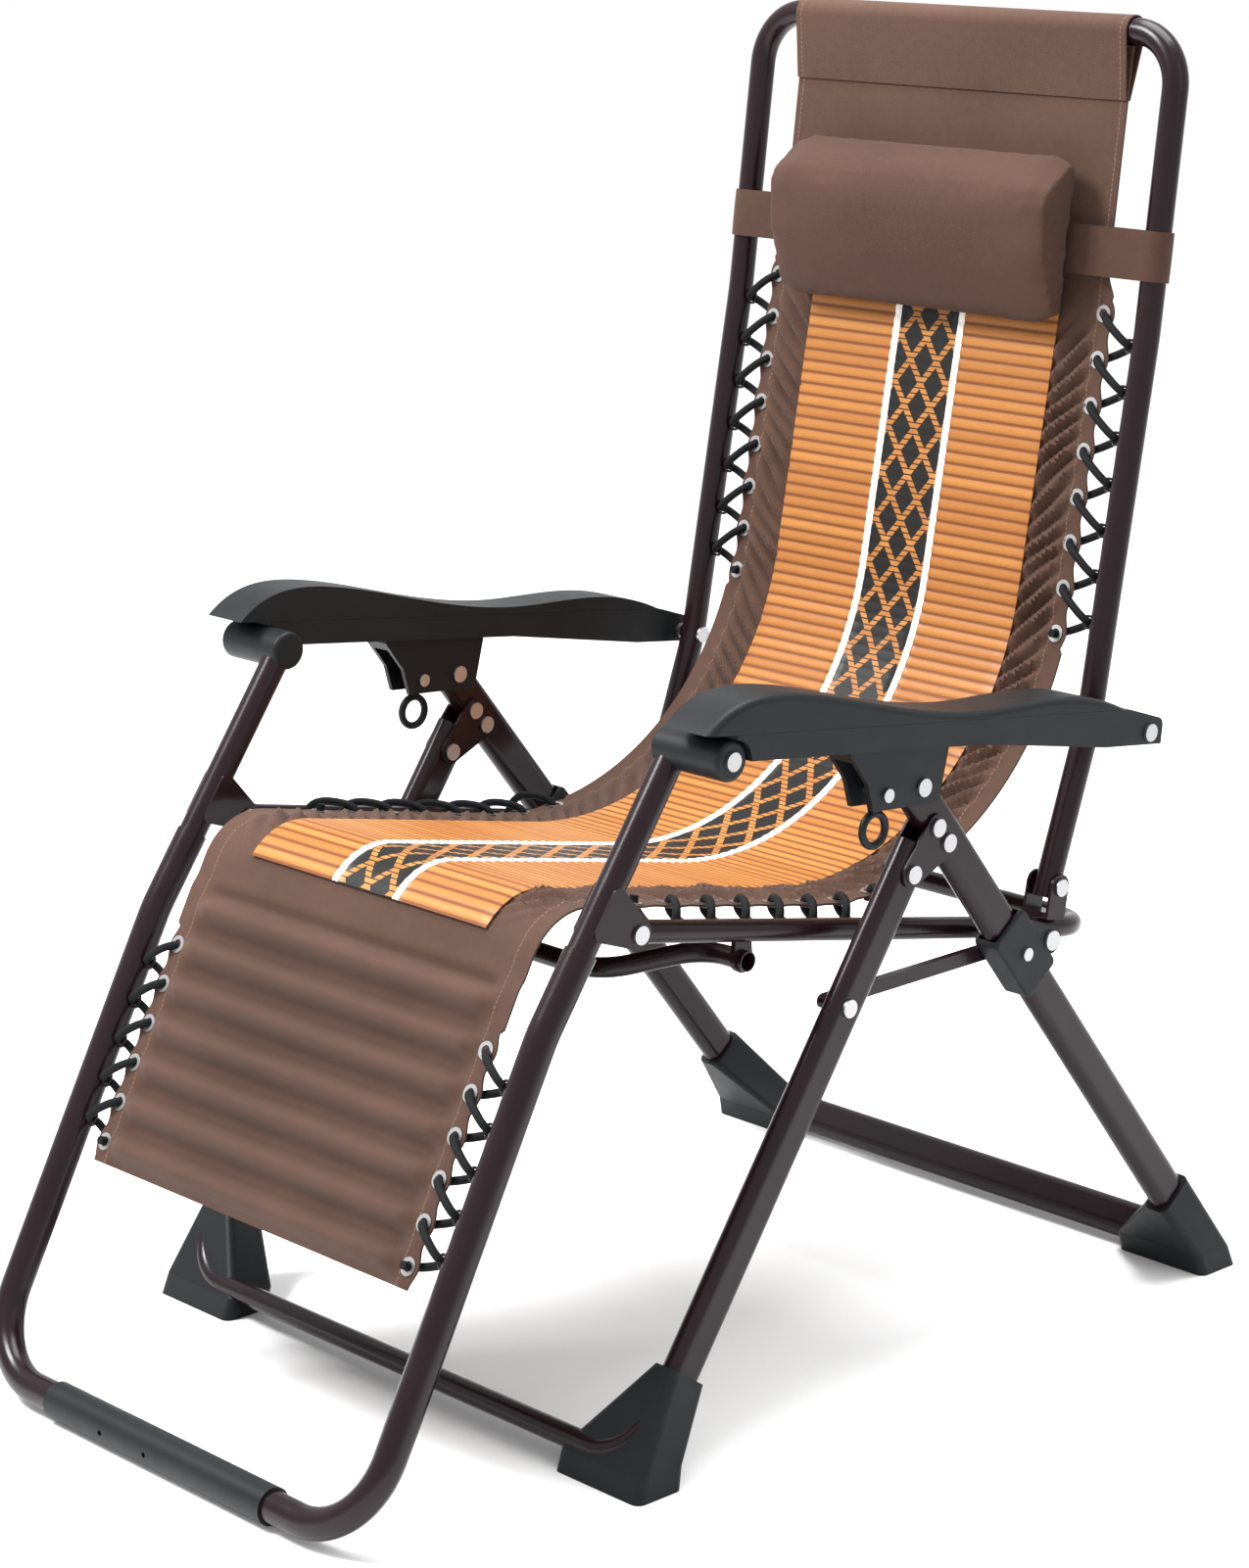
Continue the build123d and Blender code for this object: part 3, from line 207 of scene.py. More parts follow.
def rounded_line(points, radii):
    """Runs and arcs through the points, each as (length, start, heading, turn per length)."""
    runs = []
    start = Vector(points[0])
    for corner, after, radius in zip(points[1:], points[2:] + [None], radii + [0.0]):
        corner = Vector(corner)
        heading = (corner - start).normalized()
        if after is None:
            runs.append(((corner - start).length, start, heading, 0.0))
            break
        leaving = (Vector(after) - corner).normalized()
        turn = acos(max(-1.0, min(1.0, heading.dot(leaving))))
        side = 1.0 if heading.x * leaving.y - heading.y * leaving.x > 0 else -1.0
        cut = radius * tan(turn / 2)
        tangent = corner - heading * cut
        runs.append(((tangent - start).length, start, heading, 0.0))
        runs.append((radius * turn, tangent, heading, side / radius))
        start = corner + leaving * cut
    return runs


SLING_LINE = rounded_line(
    [along(TOP_BAR, HEAD_LEAN, -SLING_BELOW_BAR), NECK, rear_corner, nose_corner, foot_end],
    [HEAD_SWEEP, SLING_SWEEP, SLING_NOSE],
)
SLING_END = sum(run[0] for run in SLING_LINE)
FOOT_START = SLING_END - ROLLS * ROLL_PITCH
FOOT_EYELETS = [FOOT_START + (roll + 0.5) * ROLL_PITCH for roll in range(1, ROLLS)]


def on_line(run):
    """Side-view point of the sling line at a run, and the direction towards the sitter."""
    left = run
    for length, start, heading, curve in SLING_LINE:
        if left <= length or (length, start, heading, curve) == SLING_LINE[-1]:
            break
        left -= length
    if curve == 0.0:
        point = start + heading * left
        tangent = heading
    else:
        angle = left * curve
        side = Vector((-heading.y, heading.x))
        point = start + heading * (sin(angle) / curve) + side * ((1 - cos(angle)) / curve)
        tangent = heading * cos(angle) + side * sin(angle)
    return point, Vector((tangent.y, -tangent.x))


def sling_point(x, run, lift=0.0):
    """Point in metres on the sling, lifted towards the sitter."""
    point, out = on_line(run)
    return Vector((x, point.x + lift * out.x, point.y + lift * out.y)) * MM


# Finishes


def finish(name, colour, roughness, metallic=0.0):
    """New material with its shader, ready for more nodes."""
    made = bpy.data.materials.new(name)
    made.use_nodes = True
    shader = made.node_tree.nodes["Principled BSDF"]
    shader.inputs["Base Color"].default_value = (*colour, 1.0)
    shader.inputs["Roughness"].default_value = roughness
    shader.inputs["Metallic"].default_value = metallic
    return made, made.node_tree, shader


def node(tree, kind, **settings):
    """New node with its settings."""
    made = tree.nodes.new(kind)
    for key, value in settings.items():
        setattr(made, key, value)
    return made


def sum_of(tree, operation, first, second=None, third=None):
    """Math node on values or sockets, and its output."""
    made = node(tree, "ShaderNodeMath", operation=operation)
    for slot, value in enumerate((first, second, third)):
        if value is None:
            continue
        if isinstance(value, (int, float)):
            made.inputs[slot].default_value = value
        else:
            tree.links.new(value, made.inputs[slot])
    return made.outputs[0]


def mixed(tree, share, first, second):
    """Colour mix of two colours or sockets by a share."""
    made = node(tree, "ShaderNodeMix", data_type="RGBA")
    for slot, value in ((0, share), (6, first), (7, second)):
        if isinstance(value, tuple):
            made.inputs[slot].default_value = (*value, 1.0)
        elif isinstance(value, (int, float)):
            made.inputs[slot].default_value = value
        else:
            tree.links.new(value, made.inputs[slot])
    return made.outputs[2]


def grain(tree, scale, detail=3.0, stretch=(1.0, 1.0, 1.0), where="Object"):
    """Noise on the piece's own coordinates, and its output from 0 to 1."""
    place = node(tree, "ShaderNodeTexCoord")
    turn = node(tree, "ShaderNodeMapping")
    turn.inputs["Scale"].default_value = stretch
    made = node(tree, "ShaderNodeTexNoise")
    made.inputs["Scale"].default_value = scale
    made.inputs["Detail"].default_value = detail
    tree.links.new(place.outputs[where], turn.inputs["Vector"])
    tree.links.new(turn.outputs["Vector"], made.inputs["Vector"])
    return made.outputs["Fac"]


def raised(tree, shader, height, distance, strength=1.0):
    """Bump from a height socket."""
    made = node(tree, "ShaderNodeBump")
    made.inputs["Distance"].default_value = distance
    made.inputs["Strength"].default_value = strength
    tree.links.new(height, made.inputs["Height"])
    tree.links.new(made.outputs["Normal"], shader.inputs["Normal"])


def spread(tree, value, low, high):
    """Value from 0 to 1 spread over a new range."""
    made = node(tree, "ShaderNodeMapRange")
    made.inputs["To Min"].default_value = low
    made.inputs["To Max"].default_value = high
    tree.links.new(value, made.inputs["Value"])
    return made.outputs["Result"]


def cloth_uv(tree):
    """The cloth's own coordinates in metres: across the sling and along it."""
    place = node(tree, "ShaderNodeUVMap", uv_map="UVMap")
    split = node(tree, "ShaderNodeSeparateXYZ")
    tree.links.new(place.outputs["UV"], split.inputs["Vector"])
    return split.outputs["X"], split.outputs["Y"]


def frame_paint():
    """Dark brown gloss paint with a faint orange peel and dust-dulled patches."""
    made, tree, shader = finish("frame_paint", (0.009, 0.0035, 0.005), 0.24)
    shader.inputs["Specular IOR Level"].default_value = 0.22
    deep = (0.0055, 0.0019, 0.003)
    worn = (0.0125, 0.0048, 0.0068)
    patches = grain(tree, scale=9.0, detail=5.0)
    tree.links.new(mixed(tree, patches, deep, worn), shader.inputs["Base Color"])
    dulled = spread(tree, grain(tree, scale=45.0), low=0.16, high=0.32)
    tree.links.new(dulled, shader.inputs["Roughness"])
    orange_peel = grain(tree, scale=420.0, detail=1.0)
    raised(tree, shader, orange_peel, distance=0.00012, strength=0.35)
    return made


def black_plastic():
    """Charcoal moulded plastic with a fine spark grain."""
    made, tree, shader = finish("black_plastic", (0.011, 0.012, 0.013), 0.45)
    shader.inputs["Specular IOR Level"].default_value = 0.16
    deep = (0.005, 0.0058, 0.0066)
    worn = (0.01, 0.0115, 0.013)
    patches = grain(tree, scale=14.0, detail=4.0)
    tree.links.new(mixed(tree, patches, deep, worn), shader.inputs["Base Color"])
    dulled = spread(tree, grain(tree, scale=60.0), low=0.36, high=0.55)
    tree.links.new(dulled, shader.inputs["Roughness"])
    spark_grain = grain(tree, scale=1500.0, detail=2.0)
    raised(tree, shader, spark_grain, distance=0.00025, strength=0.5)
    return made


def bright_steel():
    """Zinc-bright rivets and eyelets with fine turning marks."""
    made, tree, shader = finish("bright_steel", (0.42, 0.42, 0.43), 0.25, metallic=1.0)
    dulled = spread(tree, grain(tree, scale=300.0), low=0.26, high=0.46)
    tree.links.new(dulled, shader.inputs["Roughness"])
    marks = grain(tree, scale=700.0, detail=2.0)
    raised(tree, shader, marks, distance=0.0001, strength=0.3)
    return made


# Weave and hem stitches, in metres on the cloth's own coordinates
THREAD_PITCH = 0.0022
SLUB_HEIGHT = 0.6
STITCH_ROW = 0.1985
STITCH_HALF = 0.0006
STITCHES_PER_METRE = 220.0
STITCH_SHARE = 0.68
STITCH_HEIGHT = 1.5
STITCH_TONE = (0.13, 0.08, 0.06)


def sling_weave(name, light, dark, stitched):
    """Brown mesh weave with a thread on each side, slubs, and a stitched hem where asked."""
    made, tree, shader = finish(name, light, 0.82)
    shader.inputs["Specular IOR Level"].default_value = 0.1
    shader.inputs["Sheen Weight"].default_value = 0.06
    shader.inputs["Sheen Roughness"].default_value = 0.5
    across, run = cloth_uv(tree)
    warp = sum_of(tree, "SINE", sum_of(tree, "MULTIPLY", across, 2 * pi / THREAD_PITCH))
    weft = sum_of(tree, "SINE", sum_of(tree, "MULTIPLY", run, 2 * pi / THREAD_PITCH))
    threads = sum_of(tree, "MULTIPLY_ADD", sum_of(tree, "MULTIPLY", warp, weft), 0.5, 0.5)
    slubs = grain(tree, scale=130.0, detail=3.0)
    faded = grain(tree, scale=7.0, detail=3.0)
    bleached = tuple(1.35 * part for part in light)
    shade = mixed(tree, spread(tree, threads, low=0.15, high=0.85), dark, light)
    shade = mixed(tree, spread(tree, slubs, low=-0.1, high=0.5), shade, dark)
    shade = mixed(tree, spread(tree, faded, low=-0.15, high=0.45), shade, bleached)
    height = sum_of(tree, "ADD", threads, sum_of(tree, "MULTIPLY", slubs, SLUB_HEIGHT))
    if stitched:
        off_row = sum_of(tree, "SUBTRACT", sum_of(tree, "ABSOLUTE", across), STITCH_ROW)
        on_row = sum_of(tree, "LESS_THAN", sum_of(tree, "ABSOLUTE", off_row), STITCH_HALF)
        dashes = sum_of(tree, "FRACT", sum_of(tree, "MULTIPLY", run, STITCHES_PER_METRE))
        on_dash = sum_of(tree, "LESS_THAN", dashes, STITCH_SHARE)
        stitch = sum_of(tree, "MULTIPLY", on_row, on_dash)
        shade = mixed(tree, stitch, shade, STITCH_TONE)
        height = sum_of(tree, "ADD", height, sum_of(tree, "MULTIPLY", stitch, STITCH_HEIGHT))
    tree.links.new(shade, shader.inputs["Base Color"])
    raised(tree, shader, height, distance=0.0005, strength=0.55)
    return made


# Lattice band in metres: its pitch across and along, and the shares of a pitch
LATTICE_ACROSS = 0.0328
LATTICE_ALONG = 0.0435
LATTICE_STRIP = 0.12
LATTICE_GAP = 0.22
# Painted groove shade: the slat crest below which a groove is painted darker, and how strongly
GROOVE = 0.42
GROOVE_SHADE_SHARE = 0.75


def bamboo_mat():
    """Split-bamboo slats with painted shade at their edges and in their grooves, two white braids, and a
    black band with a bamboo lattice between them.
    """
    made, tree, shader = finish("bamboo_mat", (0.62, 0.3, 0.1), 0.42)
    shader.inputs["Specular IOR Level"].default_value = 0.25
    across, run = cloth_uv(tree)
    side = sum_of(tree, "ABSOLUTE", across)
    slat = sum_of(tree, "FRACT", sum_of(tree, "DIVIDE", run, SLAT * MM))
    crest = sum_of(tree, "SINE", sum_of(tree, "MULTIPLY", slat, pi))
    fibre = grain(tree, scale=60.0, detail=4.0, stretch=(1.0, 14.0, 14.0))
    each = node(tree, "ShaderNodeTexWhiteNoise", noise_dimensions="1D")
    tree.links.new(sum_of(tree, "FLOOR", sum_of(tree, "DIVIDE", run, SLAT * MM)), each.inputs["W"])
    ripe, pale = (0.315, 0.122, 0.0255), (0.42, 0.185, 0.045)
    # Tones for painted shade: one for the slat edges, a darker one for the grooves between slats
    streak, shadow, groove_shade = (0.24, 0.07, 0.012), (0.16, 0.045, 0.008), (0.12, 0.035, 0.007)
    black, white = (0.004, 0.0035, 0.003), (0.86, 0.84, 0.8)
    slat_tone = mixed(tree, each.outputs["Value"], ripe, pale)
    slat_tone = mixed(tree, spread(tree, fibre, low=0.0, high=0.5), slat_tone, streak)
    # Painted shade: each slat darker towards its edges, and darker still in its grooves
    groove = sum_of(tree, "LESS_THAN", crest, GROOVE)
    rounded = spread(tree, sum_of(tree, "POWER", crest, 0.7), low=0.0, high=1.0)
    tone = mixed(tree, rounded, shadow, slat_tone)
    tone = mixed(tree, sum_of(tree, "MULTIPLY", groove, GROOVE_SHADE_SHARE), tone, groove_shade)
    # Lattice: two sets of slanted bamboo strips over black, broken at each half slat
    step = sum_of(tree, "DIVIDE", across, LATTICE_ACROSS)
    rise = sum_of(tree, "DIVIDE", run, LATTICE_ALONG)
    strips = []
    for way in (1.0, -1.0):
        slant = sum_of(tree, "MULTIPLY_ADD", rise, way, step)
        offset = sum_of(tree, "SUBTRACT", sum_of(tree, "FRACT", slant), 0.5)
        strips.append(sum_of(tree, "LESS_THAN", sum_of(tree, "ABSOLUTE", offset), LATTICE_STRIP))
    strip = sum_of(tree, "MAXIMUM", *strips)
    half_slat = sum_of(tree, "FRACT", sum_of(tree, "DIVIDE", run, SLAT * MM / 2))
    strip = sum_of(tree, "MULTIPLY", strip, sum_of(tree, "GREATER_THAN", half_slat, LATTICE_GAP))
    band_tone = mixed(tree, strip, black, slat_tone)
    in_band = sum_of(tree, "LESS_THAN", side, BAND_HALF * MM)
    tone = mixed(tree, in_band, tone, band_tone)
    off_braid = sum_of(tree, "ABSOLUTE", sum_of(tree, "SUBTRACT", side, STRIPE * MM))
    tone = mixed(tree, sum_of(tree, "LESS_THAN", off_braid, BRAID_HALF * MM), tone, white)
    tree.links.new(tone, shader.inputs["Base Color"])
    height = sum_of(tree, "MULTIPLY", fibre, 0.5)
    height = sum_of(tree, "ADD", height, sum_of(tree, "MULTIPLY", strip, 1.0))
    raised(tree, shader, height, distance=0.0006, strength=0.4)
    return made


def lacing_cord():
    """Black braided elastic."""
    made, tree, shader = finish("lacing_cord", (0.004, 0.0045, 0.005), 0.7)
    shader.inputs["Specular IOR Level"].default_value = 0.12
    deep = (0.0015, 0.0018, 0.002)
    worn = (0.008, 0.009, 0.01)
    braid = grain(tree, scale=900.0, detail=2.0)
    tree.links.new(mixed(tree, braid, deep, worn), shader.inputs["Base Color"])
    raised(tree, shader, braid, distance=0.0005, strength=0.6)
    return made


FINISHES = {
    "frame_paint": frame_paint(),
    "black_plastic": black_plastic(),
    "bright_steel": bright_steel(),
    "sling_fabric": sling_weave(
        "sling_weave", light=(0.088, 0.047, 0.033), dark=(0.032, 0.016, 0.011), stitched=True
    ),
    "bamboo_mat": bamboo_mat(),
    "lacing_cord": lacing_cord(),
}
PILLOW_WEAVE = sling_weave(
    "pillow_weave", light=(0.072, 0.036, 0.025), dark=(0.028, 0.0135, 0.0092), stitched=False
)

for entry in frame["record"]["subparts"]:
    solid = frame["nodes"][entry["node"]]
    for spot in solid.material_slots:
        spot.material = FINISHES[entry["material_slot"]]


# Cloth pieces


def cloth_grid(name, columns, rows, place):
    """Grid shaped by place(across, along), both 0 to 1, which gives a point and its cloth coordinates."""
    bpy.ops.object.select_all(action="DESELECT")
    bpy.ops.mesh.primitive_grid_add(x_subdivisions=columns, y_subdivisions=rows, size=2.0, calc_uvs=True)
    made = bpy.context.object
    made.name = name
    mesh = made.data
    mesh.name = name
    spots = [place((v.co.x + 1) / 2, (v.co.y + 1) / 2) for v in mesh.vertices]
    for vertex, (point, flat) in zip(mesh.vertices, spots):
        vertex.co = point
    layer = mesh.uv_layers[0]
    layer.name = "UVMap"
    for loop, uv in zip(mesh.loops, layer.data):
        uv.uv = spots[loop.vertex_index][1]
    return made


def pick(piece):
    """Makes a piece the only one selected, and the active one."""
    bpy.ops.object.select_all(action="DESELECT")
    piece.select_set(True)
    bpy.context.view_layer.objects.active = piece


def merged(piece, gap):
    """Joins the points of a piece that lie closer than a gap in metres."""
    pick(piece)
    bpy.ops.object.mode_set(mode="EDIT")
    bpy.ops.mesh.select_all(action="SELECT")
    bpy.ops.mesh.remove_doubles(threshold=gap)
    bpy.ops.object.mode_set(mode="OBJECT")


def apply_modifier(piece, kind, name, **settings):
    """Adds a modifier and applies it."""
    pick(piece)
    made = piece.modifiers.new(name, kind)
    for key, value in settings.items():
        setattr(made, key, value)
    bpy.ops.object.modifier_apply(modifier=name)


def thickened(piece, thick):
    """Gives a sheet its thickness on both sides of its middle, with outward faces."""
    apply_modifier(piece, "SOLIDIFY", "thickness", thickness=thick * MM, offset=0.0, use_even_offset=True)
    bpy.ops.object.mode_set(mode="EDIT")
    bpy.ops.mesh.select_all(action="SELECT")
    bpy.ops.mesh.normals_make_consistent(inside=False)
    bpy.ops.object.mode_set(mode="OBJECT")
    bpy.ops.object.shade_smooth_by_angle(angle=radians(50))


def edge_half(run):
    """Half-width of the sling: narrower over the head."""
    return HEAD_HALF + (SLING_HALF - HEAD_HALF) * soft_step(*WIDENING, run)


def pull(x, run):
    """How far the edge draws in between the eyelets."""
    for first, last, start, pitch in (
        (*BACK_LACED, BACK_EYELETS[0], EYELET_PITCH),
        (*SEAT_LACED, SEAT_EYELETS[0], EYELET_PITCH),
        (FOOT_START + ROLL_PITCH, SLING_END, FOOT_EYELETS[0], ROLL_PITCH),
    ):
        if first <= run <= last:
            wave = (1 - cos(2 * pi * (run - start) / pitch)) / 2
            return EDGE_DRAW * wave * soft_step(EDGE_DRAW_FROM, SLING_HALF, abs(x))
    return 0.0


def gathers(x, run):
    """Slanted pleats between the mat and the eyelets, fading to the edge and at the folds."""
    a = abs(x)
    if a < PLEAT_FROM:
        return 0.0
    side = 1.0 if x > 0 else -1.0
    live = soft_step(MAT_HALF - PLEAT_FADE, MAT_HALF + PLEAT_FADE, a) * (1 - soft_step(*PLEAT_OUT, a))
    live *= soft_step(*PLEAT_TOP, run) * (1 - soft_step(*PLEAT_END, run))
    drift = noise.noise(Vector((run / PLEAT_DRIFT_RUN, side * 3.7, 0.0)))
    slant = run + PLEAT_SLANT * (a - MAT_HALF) + PLEAT_DRIFT * drift
    size = 1.0 + PLEAT_VARIES * noise.noise(Vector((run / PLEAT_VARIES_RUN, side * 9.1, 2.0)))
    wave = sin(2 * pi * slant / PLEAT_PITCH)
    return PLEAT_HEIGHT * live * size * (wave + PLEAT_RAISE)


def rolls(x, run):
    """Soft rolls of the foot panel, flat at the laced edges."""
    if run < FOOT_START - ROLL_BEFORE:
        return 0.0
    phase = (run - FOOT_START) / ROLL_PITCH
    swell = (1 - cos(2 * pi * phase)) / 2
    live = 1 - soft_step(*ROLL_FLAT, abs(x))
    place = Vector((x / ROLL_VARIES_SIZE[0], run / ROLL_VARIES_SIZE[1], 4.0))
    wobble = 1.0 + ROLL_VARIES * noise.noise(place)
    into = soft_step(FOOT_START - ROLL_BEFORE, FOOT_START + ROLL_AFTER, run)
    return into * ((ROLL_HEIGHT * swell - ROLL_SINK) * live * wobble + FOOT_LIFT * (1 - live))


def sling_strip(name, first, last, columns=124, step=4.0):
    """Part of the sling between two runs."""

    def place(across, down):
        run = first + (last - first) * down
        half = edge_half(run)
        x = (2 * across - 1) * half
        lift = gathers(x, run) + rolls(x, run)
        inner = x - pull(x, run) * (1 if x > 0 else -1)
        return sling_point(inner, run, lift), (x * MM, run * MM)

    piece = cloth_grid(name, columns, max(2, round((last - first) / step)), place)
    piece.data.materials.append(FINISHES["sling_fabric"])
    thickened(piece, CLOTH)
    return piece


def mat_lift(x, run):
    """Height of the mat above the sling: rounded slats, two braids and a flatter woven band."""
    a = abs(x)
    slat = SLAT_HEIGHT * abs(sin(pi * run / SLAT)) ** SLAT_ROUND
    if a < BAND_HALF:
        slat = 0.5 + 0.25 * slat
    braid = max(0.0, 1 - ((a - STRIPE) / BRAID_HALF) ** 2)
    edge = 1 - soft_step(MAT_HALF - MAT_EDGE, MAT_HALF, a)
    return MAT_LIFT - MAT_SINK + slat * edge + BRAID_HEIGHT * braid


def mat_strip(name, first, last, columns=44, braid_columns=3, least=2.0, rows=6):
    """Part of the bamboo mat between two runs, with finer columns on its braids and six rows to a slat."""
    marks = [-MAT_HALF + 2 * MAT_HALF * i / columns for i in range(columns + 1)]
    fine = [STRIPE + BRAID_HALF * i / braid_columns for i in range(-braid_columns, braid_columns + 1)]
    marks = [m for m in marks if min(abs(abs(m) - f) for f in fine) > least]
    marks = sorted(marks + fine + [-f for f in fine])

    def place(across, down):
        run = first + (last - first) * down
        x = marks[round(across * (len(marks) - 1))]
        return sling_point(x, run, mat_lift(x, run)), (x * MM, run * MM)

    piece = cloth_grid(name, len(marks) - 1, max(2, round((last - first) / (SLAT / rows))), place)
    piece.data.materials.append(FINISHES["bamboo_mat"])
    thickened(piece, MAT_CLOTH)
    return piece


# The sling in strips that meet on the lines where it folds
FOLDS = (
    ("backrest", "back_rivets", BACK_STIFF, REAR_FOLD),
    ("back_rivets", "seat", REAR_FOLD, SEAT_STIFF),
    ("seat", "foot_rivets", NOSE_STIFF, NOSE_FOLD),
    ("foot_rivets", "foot_frame", NOSE_FOLD, FOOT_STIFF),
)
SLING_STRIPS = (
    ("sling_back_cloth", 0.0, REAR_FOLD, ("sling_back",)),
    ("sling_seat_cloth", REAR_FOLD, NOSE_STIFF, ("sling_seat",)),
    ("sling_nose_cloth", NOSE_STIFF, NOSE_FOLD, ()),
    ("sling_foot_cloth", NOSE_FOLD, SLING_END, ("sling_foot",)),
)
MAT_STRIPS = (
    ("mat_back_slats", MAT_TOP, REAR_FOLD, ("mat_back",)),
    ("mat_seat_slats", REAR_FOLD, NOSE_STIFF, ("mat_seat",)),
    ("mat_nose_slats", NOSE_STIFF, NOSE_FOLD, ()),
    ("mat_front_slats", NOSE_FOLD, MAT_END, ()),
)
for maker, strips in ((sling_strip, SLING_STRIPS), (mat_strip, MAT_STRIPS)):
    for (name, first, last, nodes), (upper, lower, start, end) in zip(strips, FOLDS):
        strip = maker(name, first, last)
        if nodes:
            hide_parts(*nodes)
        sling_point(0, start)
        sling_point(0, end)
        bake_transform(strip)


def tunnel_cloth():
    """Hem of the head panel, turned over the top bar and sewn to the panel."""
    ring = BACK_TUBE / 2 + WRAP_OFF
    hem = 2.4
    lean = asin((ring - hem) / HEM_RUN)
    run = HEM_RUN * cos(lean)
    arc = ring * (pi + 2 * lean)
    total = 2 * run + arc

    def place(across, down):
        x = (2 * across - 1) * HEAD_HALF
        gone = down * total
        if gone < run:
            n = hem + gone * sin(lean)
            d = HEM_RUN - gone * cos(lean)
        elif gone > run + arc:
            left = total - gone
            n = -hem - left * sin(lean)
            d = HEM_RUN - left * cos(lean)
        else:
            angle = (gone - run) / ring - lean
            n = ring * cos(angle)
            d = -ring * sin(angle)
        spot = shifted(along(TOP_BAR, HEAD_LEAN, -d), HEAD_LEAN, n)
        return Vector((x, *spot)) * MM, (x * MM, gone * MM)

    piece = cloth_grid("head_tunnel_cloth", columns=60, rows=70, place=place)
    piece.data.materials.append(FINISHES["sling_fabric"])
    thickened(piece, WRAP_CLOTH)
    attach(piece, "backrest")


tunnel_cloth()


# Lacing


def lacing_route(runs, start, lean, tube):
    """Corners of the cord's way: through each left eyelet, to a loop on the tube, back behind the cloth."""
    across = FRAME_HALF - tube / 2 - CORD / 2 - CORD_CLEAR
    points = []
    spots = [on_line(run)[0] for run in runs]
    if lean == FOOT_LEAN:
        spots = [Vector(shifted(spot, lean, FOOT_LIFT)) for spot in spots]
    feet = [Vector(meet(start, lean, spot, lean + 90)) for spot in spots]
    for step, spot in enumerate(spots):
        points.append((EYELET_X, *shifted(spot, lean, -CORD_DIP)))
        points.append((EYELET_X, *shifted(spot, lean, CORD_DIP)))
        if step + 1 < len(spots):
            turn = feet[step].lerp(feet[step + 1], CORD_SHARE)
            rise = (spot - feet[step]).length
            points.append((across, *shifted(turn, lean, rise + CORD_PASS)))
            points.append((across, *shifted(turn, lean, -CORD_PASS - CORD_UNDER * rise)))
    return points


def lacing(name, route, side, body, solid):
    """Round elastic cord along a route."""
    line = bpy.data.curves.new(name, "CURVE")
    line.dimensions = "3D"
    spline = line.splines.new("NURBS")
    spline.points.add(len(route) - 1)
    for spot, (x, y, z) in zip(spline.points, route):
        spot.co = (side * x * MM, y * MM, z * MM, 1.0)
    spline.order_u = 3
    spline.use_endpoint_u = True
    spline.resolution_u = 8
    line.bevel_depth = CORD / 2 * MM
    line.bevel_resolution = 3
    line.use_fill_caps = True
    line.materials.append(FINISHES["lacing_cord"])
    piece = bpy.data.objects.new(name, line)
    bpy.context.collection.objects.link(piece)
    pick(piece)
    bpy.ops.object.convert(target="MESH")
    piece = bpy.context.object
    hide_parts(solid)
    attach(piece, body)


for part, body, runs, start, lean, tube in (
    ("back", "backrest", BACK_EYELETS, ARM_PIVOT, BACK_LEAN, BACK_TUBE),
    ("seat", "seat", SEAT_EYELETS, SEAT_FRONT, RAIL_LEAN, SEAT_TUBE),
    ("foot", "foot_frame", FOOT_EYELETS, FOOT_TURN, FOOT_LEAN, FOOT_TUBE),
):
    route = lacing_route(runs, start, lean, tube)
    for side, word in ((1, "left"), (-1, "right")):
        lacing(f"{part}_cord_{word}", route, side, body, f"{part}_lacing_{word}")


# Headrest


